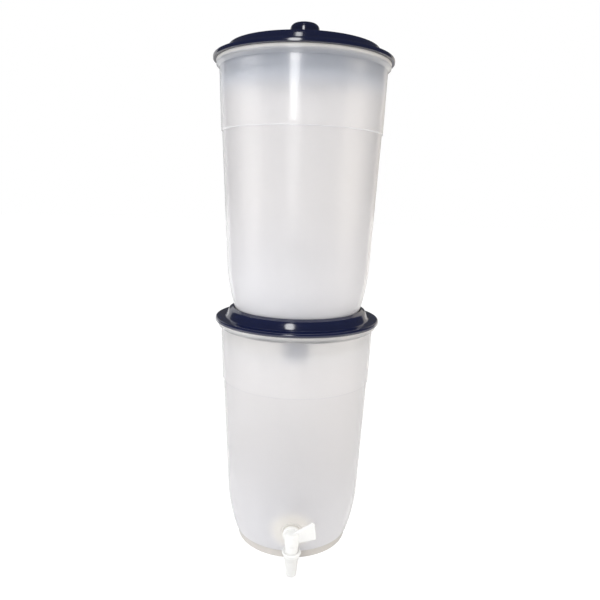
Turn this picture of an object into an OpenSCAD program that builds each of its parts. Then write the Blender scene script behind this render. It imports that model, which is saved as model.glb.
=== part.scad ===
// Gravity filter for spirit: two frosted tubs stacked on a collar, with a carbon cartridge and a tap.
// The origin is the middle of the lower foot ring, +Z is up and the tap points along -Y.

/* [Vessels] */
// Height of each vessel from its foot to its rim
vessel_h = 291.5; // [240:0.5:360]
// Outer radius of the wall just under the step
wall_r = 90.6; // [80:0.1:110]
// How much the wall leans in for each millimetre down
wall_draft = 0.036; // [0.01:0.001:0.05]
// Thickness of the wall
wall_t = 2.2; // [1.5:0.1:3]
// Thickness of the floor
floor_t = 2.5; // [2:0.1:4]
// Distance from the rim down to the step in the wall
step_drop = 73; // [40:1:110]
// How far the band above the step stands out
step_w = 1.1; // [0.3:0.1:2]
// How far the band widens between the step and the rim
band_flare = 1.5; // [0.5:0.1:3]
// How far the rim flange stands out past the band
rim_overhang = 3.5; // [2:0.1:5]
// Height of the upright face of the rim flange
rim_face = 5; // [3:0.1:6]
// Height of the whole rim flange with its sloping underside
rim_drop = 8; // [7:0.1:12]
// Height at which the wall starts to round in to the foot
corner_start = 72; // [50:1:80]
// Radius of that rounding
corner_r = 233; // [160:1:300]

/* [Foot] */
// Height of the foot ring
foot_h = 11.4; // [7:0.1:14]
// How far the foot ring stands back from the rounding
foot_setback = 2.4; // [0.5:0.1:3]
// How much the foot ring narrows to its lower edge
foot_taper = 0.8; // [0:0.1:1.5]
// Thickness of the foot ring
foot_t = 3; // [2:0.1:5]

/* [Lid and collar] */
// How far the lip stands out past the rim flange
lip_overhang = 3.3; // [1:0.1:6]
// Thickness of the lip
lip_t = 4.5; // [3:0.1:6]
// Radius of the lip's upper edge
lip_round = 2; // [0.5:0.1:2.5]
// Depth of the collar's skirt in the vessel's mouth
skirt_depth = 7.5; // [4:0.5:15]
// Depth of the lid's skirt in the vessel's mouth
lid_skirt_depth = 15.5; // [8:0.5:25]
// Thickness of the skirt
skirt_t = 2.2; // [1.5:0.1:3]
// Radial gap between the skirt and the vessel's mouth
skirt_gap = 0.6; // [0.4:0.1:1.5]
// Height of the shoulder over the vessel's rim
shoulder_h = 14.2; // [10:0.1:20]
// How far the shoulder leans in between its foot and its top
shoulder_in = 5.8; // [3:0.1:10]
// Thickness of the moulded shell
shell_t = 2.4; // [1.8:0.1:3]
// Height of the lid's crown over the vessel's rim
crown_h = 18.5; // [17:0.5:28]
// Height of the collar's inner edge over the lower rim
collar_h = 16.5; // [14:0.5:20]
// Gap between the collar and the vessel that stands in it
nest_gap = 0.9; // [0.4:0.1:2]
// How far the upper foot stands below the lower rim
nest_drop = 2; // [0:0.5:4]
// Width of the ledge that carries the upper foot
ledge_w = 11; // [7:0.5:20]
// Thickness of that ledge
ledge_t = 3; // [2:0.1:5]

/* [Knob] */
// Radius of the knob
knob_r = 16; // [12:0.5:22]
// Height of the knob
knob_h = 21.5; // [16:0.5:30]
// Radius of the knob's upper edge
knob_round = 6; // [2:0.5:8]
// Radius of the knob screw's shank
screw_r = 2; // [1.5:0.1:3]
// Depth of the screw in the knob
screw_depth = 11; // [6:0.5:13]

/* [Tap] */
// Height of the tap's stem over the foot
tap_z = 43.5; // [38:0.5:48]
// Distance of the tap's plug from the vessel's axis
tap_reach = 114; // [106:0.5:130]
// Radius of the threaded stem
stem_r = 8; // [7:0.1:9]
// Pitch of the stem's thread
thread_pitch = 2; // [1.5:0.1:2.5]
// Radius of the flat boss on the vessel's wall
boss_r = 13; // [12.5:0.1:16]
// Radius of the tap's wall flange
flange_r = 10.8; // [10:0.1:12]
// Thickness of the tap's wall flange
flange_t = 5; // [3:0.1:7]
// Thickness of each washer
washer_t = 2; // [1:0.1:3]
// Width of the lock nut across its corners
nut_w = 27; // [24:0.5:30]
// Thickness of the lock nut
nut_t = 8; // [5:0.5:10]
// Radius of the plug's housing
housing_r = 7.5; // [7:0.1:9]
// Radius of the barrel between the flange and the housing
barrel_r = 4.4; // [4:0.1:6]
// Radius of the turning plug
plug_r = 4.6; // [4.2:0.1:5]
// Radius of the waterway
waterway_r = 2.4; // [1.5:0.1:2.5]
// Height of the plug's hub over its housing
hub_h = 14.3; // [8:0.1:18]
// Reach of the lever from the plug's axis
lever_reach = 28.5; // [20:0.5:40]
// Height of the lever's outer end
lever_end_h = 22; // [12:0.5:30]
// Thickness of the lever
lever_t = 3.6; // [2.5:0.1:5]
// Radius of the dish at the top of the spout
dish_r = 11.3; // [10.5:0.1:13]
// Height of the dish's side
dish_h = 4.5; // [3:0.1:6]
// Distance from the spout's top to its tip
spout_h = 31.9; // [24:0.1:36]
// Radius of the spout's tip
tip_r = 5.8; // [4.5:0.1:6.5]

/* [Outlet fitting] */
// Radius of the adaptor's thread through the upper floor
adaptor_r = 11; // [10:0.5:13]
// Radius of the adaptor's hub and its washers
hub_r = 15.5; // [14:0.5:20]
// Height of the adaptor's hub over its washer
adaptor_hub_h = 19; // [12:0.5:25]
// Length of the adaptor's thread under the floor
adaptor_thread_h = 35; // [20:1:45]
// Outer radius of the outlet nut
outlet_nut_r = 16; // [15:0.5:20]
// Length of the outlet nut
outlet_nut_h = 58; // [50:1:80]

/* [Cartridge] */
// Outer radius of the cartridge
cup_r = 30; // [25:0.5:45]
// Height of the cartridge's cup
cup_h = 53; // [40:1:90]
// Wall of the cup
cup_t = 2; // [1.5:0.1:3]
// Thickness of each felt pad
felt_t = 4; // [2:0.5:6]
// Radius of the spigot under the cup
spigot_r = 7.6; // [7:0.1:8.2]
// Length of that spigot
spigot_h = 13; // [9:0.5:14]

/* [Hidden] */
$fn = 96;

// Small fits and details
arc_steps = 16;
edge = 0.8;
thread_depth = 0.8;
stem_gap = 0.3;
thread_gap = 0.15;
loose_gap = 0.2;
plug_gap = 0.06;
seal_gap = 0.05;
boss_proud = 0.4;
cut = 1;

// Colours
frosted = [0.90, 0.89, 0.89, 0.6];
navy = [0.10, 0.13, 0.24];
tap_white = [0.97, 0.97, 0.96];
silicone = [0.88, 0.88, 0.86];
dark_rubber = [0.12, 0.12, 0.13];
cup_white = [0.93, 0.93, 0.92];
felt_grey = [0.80, 0.79, 0.76];
carbon_black = [0.07, 0.07, 0.07];
steel = [0.75, 0.75, 0.76];

// The vessel's outline
step_z = vessel_h - step_drop;
step_r = wall_r + step_w;
band_top_r = step_r + band_flare;
rim_r = band_top_r + rim_overhang;
mouth_r = wall_r - wall_t + band_flare;
lean = atan(wall_draft);
corner_top_r = wall_r - wall_draft * (step_z - corner_start);
corner_x = corner_top_r - corner_r * cos(lean);
corner_z = corner_start + corner_r * sin(lean);
function rounding(radius, z) = corner_x + sqrt(pow(radius, 2) - pow(corner_z - z, 2));
function outer_r(z) = z < corner_start ? rounding(corner_r, z) : wall_r - wall_draft * (step_z - z);
function inner_r(z) = z < corner_start ? rounding(corner_r - wall_t, z) : outer_r(z) - wall_t;
function corner_height(i) = foot_h + i * (corner_start - foot_h) / arc_steps;
foot_top_r = outer_r(foot_h) - foot_setback;
foot_r = foot_top_r - foot_taper;

// Where the storeys stand
upper_z = vessel_h - nest_drop;
lid_z = upper_z + vessel_h;
upper_floor_z = upper_z + foot_h;

// Lid and collar
lip_r = rim_r + lip_overhang;
skirt_r = mouth_r - band_flare * max(skirt_depth, lid_skirt_depth) / step_drop - skirt_gap;
under_shift = 0.7 * shell_t;
shoulder_foot_r = skirt_r - skirt_t + under_shift;
shoulder_top_r = shoulder_foot_r - shoulder_in;
pad_margin = 2;
pad_r = knob_r + pad_margin;
nest_r = outer_r(collar_h + nest_drop) + nest_gap;
pocket_r = outer_r(foot_h) + nest_gap;
ledge_r = foot_r + nest_gap - ledge_w;

// Places along the tap's stem, as distances from the vessel's axis
boss_face = outer_r(tap_z + boss_r) + boss_proud;
boss_back = inner_r(tap_z - boss_r) - boss_proud;
flange_back = boss_face + washer_t;
flange_front = flange_back + flange_t;
nut_back = boss_back - washer_t - nut_t;
stem_end = nut_back - 1.5 * thread_pitch;

// Heights along the tap's plug
barrel_cover = 0.3;
barrel_clear = 0.2;
housing_top = tap_z + barrel_r + barrel_cover;
spout_top = tap_z - barrel_r - barrel_clear;
dish_depth = 0.8;
socket_depth = 5;
housing_bottom = spout_top - dish_depth - socket_depth;
plug_bore_r = plug_r + plug_gap;
seal_r = 0.55;
seal_ring_r = plug_bore_r - seal_gap - seal_r;
groove_r = seal_ring_r - seal_r - seal_gap;
seal_offset = 3.6;
seal_heights = [tap_z - seal_offset, tap_z + seal_offset];
snap_h = 1.6;
snap_lip = 0.7;
snap_r = plug_r + snap_lip;
snap_play = 0.3;
chamber_gap = 0.6;
chamber_r = snap_r + chamber_gap;
chamber_h = 4;
lever_slope = 3;
nut_flange_t = 2;

// Outlet fitting and cartridge
adaptor_z = upper_floor_z + washer_t;
adaptor_top = adaptor_z + adaptor_hub_h;
floor_under = upper_floor_z - floor_t;
outlet_nut_top = floor_under - washer_t;
drip_r = 5;
cup_floor = 3;
cap_t = 3;
cap_plug = 4;
cup_in_r = cup_r - cup_t;
fill_r = cup_in_r - loose_gap;
cup_floor_z = adaptor_top + cup_floor;
cup_top = adaptor_top + cup_h;
felt_top_z = cup_top - cap_plug;
spigot_gap = 0.4;
socket_r = spigot_r + spigot_gap;
ring_r = 1.1;
ring_mid_r = socket_r - 2 * seal_gap - ring_r;
ring_z = adaptor_top - spigot_h / 2;
spigot_bore_r = 3.4;

// Points of an arc, from one angle to another
function arc(middle, radius, from, to, steps = 6) =
    [for (i = [0:steps]) let (a = from + (to - from) * i / steps) middle + radius * [cos(a), sin(a)]];

// A ring with a square section, standing on z
module ring(outer, inner, z, height) {
    translate([0, 0, z]) difference() {
        cylinder(r = outer, h = height);
        translate([0, 0, -cut]) cylinder(r = inner, h = height + 2 * cut);
    }
}

// Turns a shape that stands on +Z so that it points out along the tap's stem
module on_stem(distance) {
    translate([0, -distance, tap_z]) rotate([90, 0, 0]) children();
}

// Moves a shape to the axis of the tap's plug
module on_plug(z) {
    translate([0, -tap_reach, z]) children();
}

// One tub: rounded bottom on a foot ring, leaning wall, step, band and rim flange
module tub() {
    rotate_extrude() polygon(concat(
        [[0, foot_h]],
        [for (i = [0:arc_steps]) [inner_r(corner_height(i)), corner_height(i)]],
        [[wall_r - wall_t, step_z], [mouth_r, vessel_h]],
        arc([rim_r - edge, vessel_h - edge], edge, 90, 0),
        [[rim_r, vessel_h - rim_face], [band_top_r, vessel_h - rim_drop], [step_r, step_z], [wall_r, step_z]],
        [for (i = [arc_steps:-1:0]) [outer_r(corner_height(i)), corner_height(i)]],
        [[foot_top_r, foot_h], [foot_r, 0], [foot_r - foot_t, 0], [foot_top_r - foot_t, foot_h - floor_t]],
        [[0, foot_h - floor_t]]));
}

// Upper side of the lip and shoulder that the lid and the collar share, from the lip inwards
function cover_top() = concat(
    [[lip_r, 0]],
    arc([lip_r - lip_round, lip_t - lip_round], lip_round, 0, 90),
    [for (i = [0:arc_steps]) shoulder_point(i / arc_steps)]);

// The shoulder's curve eases out of the lip and into the crown
shoulder_turn = 176;
function shoulder_rise(t) = (1 - cos(shoulder_turn * t)) / (1 - cos(shoulder_turn));
function shoulder_point(t) =
    [shoulder_foot_r - shoulder_in * t, lip_t + (shoulder_h - lip_t) * shoulder_rise(t)];

// Underside of the shoulder, from its top out to the skirt, and the skirt itself
function cover_under(depth) = concat(
    [for (i = [arc_steps:-1:0]) shoulder_point(i / arc_steps) - [under_shift, shell_t]],
    [[skirt_r - skirt_t, -depth], [skirt_r - edge, -depth], [skirt_r, -depth + edge], [skirt_r, 0]]);

// The lid's crown is a shallow dome that ends in a flat pad under the knob
function crown(r) = crown_h - (crown_h - shoulder_h) * pow((r - pad_r) / (shoulder_top_r - pad_r), 2);
function crown_radius(i) = shoulder_top_r + (pad_r - shoulder_top_r) * i / arc_steps;

module lower_vessel() {
    color(frosted) difference() {
        union() {
            tub();
            on_stem(boss_back) cylinder(r = boss_r, h = boss_face - boss_back);
        }
        on_stem(boss_back - cut) cylinder(r = stem_r + stem_gap, h = boss_face - boss_back + 2 * cut);
    }
}

module upper_vessel() {
    color(frosted) translate([0, 0, upper_z]) difference() {
        tub();
        cylinder(r = adaptor_r + stem_gap, h = foot_h + cut);
    }
}

module stacking_collar() {
    color(navy) translate([0, 0, vessel_h]) rotate_extrude() polygon(concat(
        cover_top(),
        [[nest_r + edge, collar_h], [nest_r, collar_h - edge]],
        [[pocket_r, foot_h - nest_drop], [pocket_r, -nest_drop]],
        [[ledge_r, -nest_drop], [ledge_r, -nest_drop - ledge_t]],
        [[pocket_r + shell_t, -nest_drop - ledge_t], [nest_r + shell_t * 0.6, shoulder_h - 1.5 * shell_t]],
        cover_under(skirt_depth)));
}

module lid_shell() {
    color(navy) translate([0, 0, lid_z]) rotate_extrude() polygon(concat(
        cover_top(),
        [for (i = [1:arc_steps]) [crown_radius(i), crown(crown_radius(i))]],
        [[screw_r + loose_gap, crown_h], [screw_r + loose_gap, crown_h - shell_t]],
        [for (i = [arc_steps:-1:1]) [crown_radius(i), crown(crown_radius(i)) - shell_t]],
        cover_under(lid_skirt_depth)));
}

module lid_knob() {
    color(navy * 0.8) translate([0, 0, lid_z + crown_h]) rotate_extrude() polygon(concat(
        [[screw_r + seal_gap, 0], [knob_r - edge, 0], [knob_r, edge]],
        arc([knob_r - knob_round, knob_h - knob_round], knob_round, 0, 90, arc_steps),
        [[0, knob_h], [0, screw_depth + edge], [screw_r + seal_gap, screw_depth + edge]]));
}

module knob_washer() {
    color(steel) ring(3 * screw_r, screw_r + loose_gap, lid_z + crown_h - shell_t - washer_t / 2, washer_t / 2);
}

module knob_screw() {
    head_top = crown_h - shell_t - washer_t / 2;
    head_r = 2 * screw_r;
    head_h = 1.3 * screw_r;
    color(steel) translate([0, 0, lid_z + head_top]) difference() {
        union() {
            cylinder(r = screw_r, h = crown_h - head_top + screw_depth);
            translate([0, 0, -head_h]) cylinder(r1 = head_r - edge, r2 = head_r, h = head_h);
        }
        for (turn = [0, 90])
            rotate([0, 0, turn]) translate([0, 0, -head_h]) cube([head_r, edge, head_h], center = true);
    }
}

// Rings of thread along a stem: crests on the full radius, roots one thread depth inside it
function thread_outline(radius, pitch, length) = [
    for (i = [0:floor(length / pitch) - 1], side = [0, 1])
        [radius - thread_depth * (1 - side), (i + 0.25 + side / 2) * pitch]
];

module threaded_rod(radius, pitch, length) {
    rotate_extrude() polygon(concat(
        [[0, 0], [radius - thread_depth, 0]],
        thread_outline(radius, pitch, length),
        [[radius - thread_depth, length], [0, length]]));
}

module tap_body() {
    color(tap_white) difference() {
        union() {
            on_stem(stem_end) threaded_rod(stem_r, thread_pitch, flange_back - stem_end);
            on_stem(flange_back) cylinder(r = flange_r, h = flange_t);
            on_stem(flange_front) cylinder(r = barrel_r, h = tap_reach - flange_front);
            on_plug(housing_bottom) cylinder(r = housing_r, h = housing_top - housing_bottom);
        }
        on_stem(stem_end - cut) cylinder(r = 2 * waterway_r, h = flange_back - stem_end);
        on_stem(stem_end) cylinder(r = waterway_r, h = tap_reach - stem_end);
        on_plug(housing_bottom - cut)
            cylinder(r = plug_bore_r, h = housing_top - housing_bottom + 2 * cut);
    }
}

module tap_spout() {
    chamber_bottom = housing_bottom - chamber_h;
    tip_z = spout_top - spout_h;
    neck_r = housing_r + edge;
    color(tap_white) on_plug(0) rotate_extrude() polygon([
        [waterway_r + edge, tip_z], [tip_r, tip_z], [tip_r + edge / 2, tip_z + edge],
        [neck_r - edge, housing_bottom - 2 * chamber_h], [neck_r, housing_bottom - chamber_h],
        [dish_r - 2 * edge, spout_top - dish_h], [dish_r - edge / 2, spout_top - dish_h / 2],
        [dish_r, spout_top - edge], [dish_r - edge, spout_top],
        [dish_r - 2 * edge, spout_top], [dish_r - 2 * edge, spout_top - dish_depth],
        [housing_r + seal_gap, spout_top - dish_depth], [housing_r + seal_gap, housing_bottom],
        [chamber_r, housing_bottom], [chamber_r, chamber_bottom], [waterway_r + edge, chamber_bottom]
    ]);
}

// The lever's outline in the plane of the plug: a flag that widens to its outer end
module lever_outline() {
    polygon([
        [0, 0], [lever_reach - edge, hub_h / 2 - edge], [lever_reach, hub_h / 2 + edge],
        [lever_reach - lever_slope + edge / 2, hub_h / 2 + lever_end_h - edge],
        [lever_reach - lever_slope - edge, hub_h / 2 + lever_end_h], [0, hub_h - edge]
    ]);
}

module tap_plug() {
    plug_bottom = housing_bottom - snap_play - snap_h;
    color(tap_white) difference() {
        union() {
            on_plug(plug_bottom) cylinder(r = plug_r, h = housing_top - plug_bottom);
            on_plug(plug_bottom) cylinder(r1 = plug_r, r2 = snap_r, h = snap_h);
            on_plug(housing_top) rotate_extrude() polygon([
                [0, 0], [housing_r, 0], [housing_r, hub_h - edge], [housing_r - edge, hub_h], [0, hub_h]
            ]);
            on_plug(housing_top) translate([0, lever_t / 2, 0]) rotate([90, 0, 0])
                linear_extrude(lever_t) lever_outline();
        }
        on_plug(plug_bottom - cut) cylinder(r = waterway_r, h = tap_z + waterway_r - plug_bottom + cut);
        on_plug(tap_z) rotate([0, -90, 0]) cylinder(r = waterway_r, h = 2 * plug_r);
        for (z = seal_heights)
            on_plug(0) ring(2 * plug_r, groove_r, z - seal_r - seal_gap, 2 * (seal_r + seal_gap));
    }
}

module plug_o_rings() {
    color(dark_rubber) for (z = seal_heights)
        on_plug(z) rotate_extrude() translate([seal_ring_r, 0]) circle(r = seal_r, $fn = 32);
}

module tap_washer(distance) {
    on_stem(distance) ring(flange_r - edge, stem_r + stem_gap, 0, washer_t);
}

module tap_outer_washer() {
    color(silicone) tap_washer(boss_face);
}

module tap_inner_washer() {
    color(silicone) tap_washer(boss_back - washer_t);
}

module tap_lock_nut() {
    color(tap_white) on_stem(nut_back) difference() {
        union() {
            cylinder(d = nut_w, h = nut_t - nut_flange_t, $fn = 6);
            translate([0, 0, nut_t - nut_flange_t]) cylinder(d = nut_w, h = nut_flange_t);
        }
        translate([0, 0, -cut]) cylinder(r = stem_r + thread_gap, h = nut_t + 2 * cut);
    }
}

module outlet_adaptor() {
    thread_bottom = outlet_nut_top - adaptor_thread_h;
    color(navy) difference() {
        union() {
            translate([0, 0, thread_bottom])
                threaded_rod(adaptor_r, thread_pitch, adaptor_z - thread_bottom);
            translate([0, 0, adaptor_z]) cylinder(r = hub_r, h = adaptor_hub_h);
        }
        translate([0, 0, thread_bottom - cut]) cylinder(r = drip_r, h = adaptor_top - thread_bottom);
        translate([0, 0, adaptor_top - spigot_h - edge]) cylinder(r = socket_r, h = spigot_h + edge + cut);
    }
}

module adaptor_inner_washer() {
    color(dark_rubber) ring(hub_r + edge, adaptor_r + stem_gap, upper_floor_z, washer_t);
}

module adaptor_outer_washer() {
    color(dark_rubber) ring(hub_r + edge, adaptor_r + stem_gap, floor_under - washer_t, washer_t);
}

// A long sleeve nut with grip grooves, closed below but for the drip hole
module outlet_nut() {
    grooves = 18;
    bottom = outlet_nut_top - outlet_nut_h;
    end_t = 4;
    color(navy) difference() {
        translate([0, 0, bottom]) rotate_extrude() polygon([
            [drip_r, 0], [outlet_nut_r - 2 * edge, 0], [outlet_nut_r, 2 * edge],
            [outlet_nut_r, outlet_nut_h], [adaptor_r + thread_gap, outlet_nut_h],
            [adaptor_r + thread_gap, end_t], [drip_r, end_t]
        ]);
        for (i = [0:grooves - 1])
            rotate([0, 0, i * 360 / grooves]) translate([outlet_nut_r + edge / 2, 0, bottom + 2 * end_t])
                cylinder(r = 1.5 * edge, h = outlet_nut_h, $fn = 24);
    }
}

module cartridge_body() {
    groove_h = 2 * (ring_r + seal_gap);
    color(cup_white) difference() {
        rotate_extrude() polygon([
            [spigot_bore_r, adaptor_top - spigot_h], [spigot_r - edge, adaptor_top - spigot_h],
            [spigot_r, adaptor_top - spigot_h + edge], [spigot_r, adaptor_top],
            [cup_r - edge, adaptor_top], [cup_r, adaptor_top + edge], [cup_r, cup_top],
            [cup_in_r, cup_top], [cup_in_r, cup_floor_z], [spigot_bore_r, cup_floor_z]
        ]);
        ring(2 * spigot_r, ring_mid_r - ring_r - seal_gap, ring_z - groove_h / 2, groove_h);
    }
}

module cartridge_cap() {
    slots = 12;
    slot_w = 2.4;
    color(cup_white) difference() {
        union() {
            translate([0, 0, cup_top]) cylinder(r1 = cup_r, r2 = cup_r - edge, h = cap_t);
            translate([0, 0, felt_top_z]) cylinder(r = fill_r, h = cap_plug);
        }
        for (i = [0:slots - 1])
            rotate([0, 0, i * 360 / slots]) translate([cup_r / 4, -slot_w / 2, felt_top_z - cut])
                cube([cup_r / 2, slot_w, cap_plug + cap_t + 2 * cut]);
    }
}

module cartridge_o_ring() {
    color(dark_rubber) translate([0, 0, ring_z]) rotate_extrude()
        translate([ring_mid_r, 0]) circle(r = ring_r, $fn = 32);
}

module lower_felt_pad() {
    color(felt_grey) translate([0, 0, cup_floor_z]) cylinder(r = fill_r, h = felt_t);
}

module carbon_bed() {
    bed_z = cup_floor_z + felt_t;
    color(carbon_black) translate([0, 0, bed_z]) cylinder(r = fill_r, h = felt_top_z - felt_t - bed_z);
}

module upper_felt_pad() {
    color(felt_grey) translate([0, 0, felt_top_z - felt_t]) cylinder(r = fill_r, h = felt_t);
}

lower_vessel();
tap_body();
tap_spout();
tap_plug();
plug_o_rings();
tap_outer_washer();
tap_inner_washer();
tap_lock_nut();
stacking_collar();
upper_vessel();
outlet_adaptor();
adaptor_inner_washer();
adaptor_outer_washer();
outlet_nut();
cartridge_body();
cartridge_cap();
cartridge_o_ring();
lower_felt_pad();
carbon_bed();
upper_felt_pad();
lid_shell();
lid_knob();
knob_washer();
knob_screw();
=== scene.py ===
"""Looks of a two-storey spirit filter with frosted tubs, a navy collar and lid, and a white tap."""

import math

import bmesh
import bpy
from bpy.props import FloatProperty, FloatVectorProperty, IntProperty, PointerProperty
from mathutils import Matrix, Vector


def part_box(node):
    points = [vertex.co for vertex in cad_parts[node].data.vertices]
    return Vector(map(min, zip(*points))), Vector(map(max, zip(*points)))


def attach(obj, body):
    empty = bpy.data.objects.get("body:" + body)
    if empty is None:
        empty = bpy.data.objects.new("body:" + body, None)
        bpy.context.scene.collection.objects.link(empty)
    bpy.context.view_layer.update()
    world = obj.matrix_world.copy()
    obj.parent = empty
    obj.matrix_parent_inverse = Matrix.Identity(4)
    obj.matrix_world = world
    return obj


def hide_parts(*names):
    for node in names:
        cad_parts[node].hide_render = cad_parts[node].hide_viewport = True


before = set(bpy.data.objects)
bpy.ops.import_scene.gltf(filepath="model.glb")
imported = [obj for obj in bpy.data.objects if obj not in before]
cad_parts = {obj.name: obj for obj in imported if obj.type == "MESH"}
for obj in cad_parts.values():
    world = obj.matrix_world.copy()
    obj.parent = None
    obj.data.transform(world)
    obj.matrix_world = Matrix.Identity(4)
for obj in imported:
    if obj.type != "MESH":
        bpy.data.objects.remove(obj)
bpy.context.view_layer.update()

bl_info = {
    "name": "Spirit Carbon Filter",
    "version": (1, 0, 0),
    "blender": (4, 5, 0),
    "location": "View3D > Sidebar > Filter",
    "description": "Dresses the packed solids of a gravity filter for spirit",
    "category": "Add Mesh",
}

MM = 0.001

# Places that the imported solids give
UPPER_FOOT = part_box("upper_vessel")[0].z
UPPER_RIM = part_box("upper_vessel")[1].z
LOWER_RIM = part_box("lower_vessel")[1].z
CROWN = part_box("lid_knob")[0].z
TAP_REACH = -(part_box("tap_spout")[0].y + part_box("tap_spout")[1].y) / 2

# How finely round things are cut
AROUND = 192
AROUND_SMALL = 96
ARC_STEPS = 6
CURVE_STEPS = 24
WALL_STEPS = 12
SHARP_ANGLE = math.radians(32)
FLUTE_STEPS = 16
FELT_RINGS = 14

# Roundings of edges
HAIR = 0.2 * MM
FINE = 0.3 * MM
SLIGHT = 0.4 * MM
SMALL = 0.5 * MM
MODEST = 0.6 * MM
EDGE = 0.8 * MM
FULL = 1.0 * MM
WIDE = 1.2 * MM
HUB_EDGE = 2.2 * MM
HUB_CROWN = 3 * MM

# Gaps between pieces
STEM_GAP = 0.3 * MM
THREAD_GAP = 0.15 * MM
PLUG_GAP = 0.06 * MM
SEAL_GAP = 0.05 * MM
HUB_GAP = 0.05 * MM
SCREW_GAP = 0.2 * MM
SPIGOT_GAP = 0.4 * MM
FILL_GAP = 0.2 * MM

# Small sizes of the moulded pieces
SHOULDER_TURN = math.radians(176)
SHELL_SHIFT = 0.7
SEAL_OFFSET = 3.6 * MM
SEAL_RADIUS = 0.55 * MM
SPIGOT_SEAL = 1.1 * MM
SNAP_HEIGHT = 1.6 * MM
SNAP_LIP = 0.7 * MM
SNAP_PLAY = 0.3 * MM
CHAMBER_HEIGHT = 4 * MM
LEVER_SLOPE = 3 * MM
RIBS = 4
RIB_HEIGHT = 0.3 * MM
DRIP_RADIUS = 5 * MM
SPIGOT_BORE = 3.4 * MM
CUP_FLOOR = 3 * MM
RUN_OUT = 0.75


def length(name, description, millimetres):
    """A size that a user may change."""
    return FloatProperty(name=name, description=description, default=millimetres * MM, min=0.0,
                         precision=4, subtype="DISTANCE", unit="LENGTH")


def colour(name, description, default):
    """A surface colour that a user may change."""
    return FloatVectorProperty(name=name, description=description, default=default, min=0.0, max=1.0,
                               size=3, subtype="COLOR")


class FILTER_PG_vessel(bpy.types.PropertyGroup):
    """Sizes that both tubs share."""
    wall_radius: length("Wall radius", "Outer radius of the wall just under the step", 90.6)
    draft: FloatProperty(name="Draft", description="How much the wall leans in for each unit down",
                         default=0.036, min=0.0, max=0.1)
    wall: length("Wall", "Thickness of the wall", 2.2)
    floor: length("Floor", "Thickness of the floor", 2.5)
    step_drop: length("Step drop", "Distance from the rim down to the step", 73)
    step_width: length("Step width", "How far the band above the step stands out", 1.1)
    band_flare: length("Band flare", "How far the band widens up to the rim", 1.5)
    rim_overhang: length("Rim overhang", "How far the rim flange stands out", 3.5)
    rim_face: length("Rim face", "Height of the flange's upright face", 5)
    rim_drop: length("Rim drop", "Height of the flange with its sloping underside", 8)
    corner_start: length("Corner start", "Height at which the wall rounds in", 72)
    corner_radius: length("Corner radius", "Radius of that rounding", 233)
    foot_height: length("Foot height", "Height of the foot ring", 11.4)
    foot_setback: length("Foot setback", "How far the foot stands back", 2.4)
    foot_taper: length("Foot taper", "How much the foot narrows downwards", 0.8)
    foot_wall: length("Foot wall", "Thickness of the foot ring", 3)

    @property
    def step_height(self):
        return LOWER_RIM - self.step_drop

    @property
    def mouth_radius(self):
        return self.wall_radius - self.wall + self.band_flare

    @property
    def rim_radius(self):
        return self.wall_radius + self.step_width + self.band_flare + self.rim_overhang

    @property
    def foot_top_radius(self):
        return self.outer_radius(self.foot_height) - self.foot_setback

    def rounding(self, radius, z):
        """Radius of the rounded lower wall at a height."""
        lean = math.atan(self.draft)
        top = self.wall_radius - self.draft * (self.step_height - self.corner_start)
        rise = self.corner_start + self.corner_radius * math.sin(lean) - z
        return top - self.corner_radius * math.cos(lean) + math.sqrt(radius ** 2 - rise ** 2)

    def outer_radius(self, z):
        if z < self.corner_start:
            return self.rounding(self.corner_radius, z)
        return self.wall_radius - self.draft * (self.step_height - z)

    def inner_radius(self, z):
        if z < self.corner_start:
            return self.rounding(self.corner_radius - self.wall, z)
        return self.outer_radius(z) - self.wall


class FILTER_PG_cover(bpy.types.PropertyGroup):
    """Sizes that the lid and the collar share, and those of the knob."""
    lip_overhang: length("Lip overhang", "How far the lip stands out past the rim", 3.3)
    lip: length("Lip", "Thickness of the lip", 4.5)
    lip_round: length("Lip round", "Radius of the lip's upper edge", 2)
    collar_skirt: length("Collar skirt", "Depth of the collar's skirt in the tub's mouth", 7.5)
    lid_skirt: length("Lid skirt", "Depth of the lid's skirt in the tub's mouth", 15.5)
    skirt: length("Skirt", "Thickness of the skirt", 2.2)
    skirt_gap: length("Skirt gap", "Gap between the skirt and the mouth", 0.6)
    shoulder_height: length("Shoulder height", "Height of the shoulder over the rim", 14.2)
    shoulder_in: length("Shoulder in", "How far the shoulder leans in", 5.8)
    shell: length("Shell", "Thickness of the moulded shell", 2.4)
    crown_height: length("Crown height", "Height of the lid's crown over the rim", 18.5)
    collar_height: length("Collar height", "Height of the collar's inner edge", 16.5)
    nest_gap: length("Nest gap", "Gap around the tub that stands in the collar", 0.9)
    nest_drop: length("Nest drop", "How far the upper foot stands below the lower rim", 2)
    ledge_width: length("Ledge width", "Width of the ledge under the upper foot", 11)
    ledge: length("Ledge", "Thickness of that ledge", 3)
    knob_radius: length("Knob radius", "Radius of the knob", 16)
    knob_height: length("Knob height", "Height of the knob", 21.5)
    knob_round: length("Knob round", "Radius of the knob's upper edge", 6)
    screw_radius: length("Screw radius", "Radius of the knob screw", 2)
    screw_depth: length("Screw depth", "Depth of the screw in the knob", 11)


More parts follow.
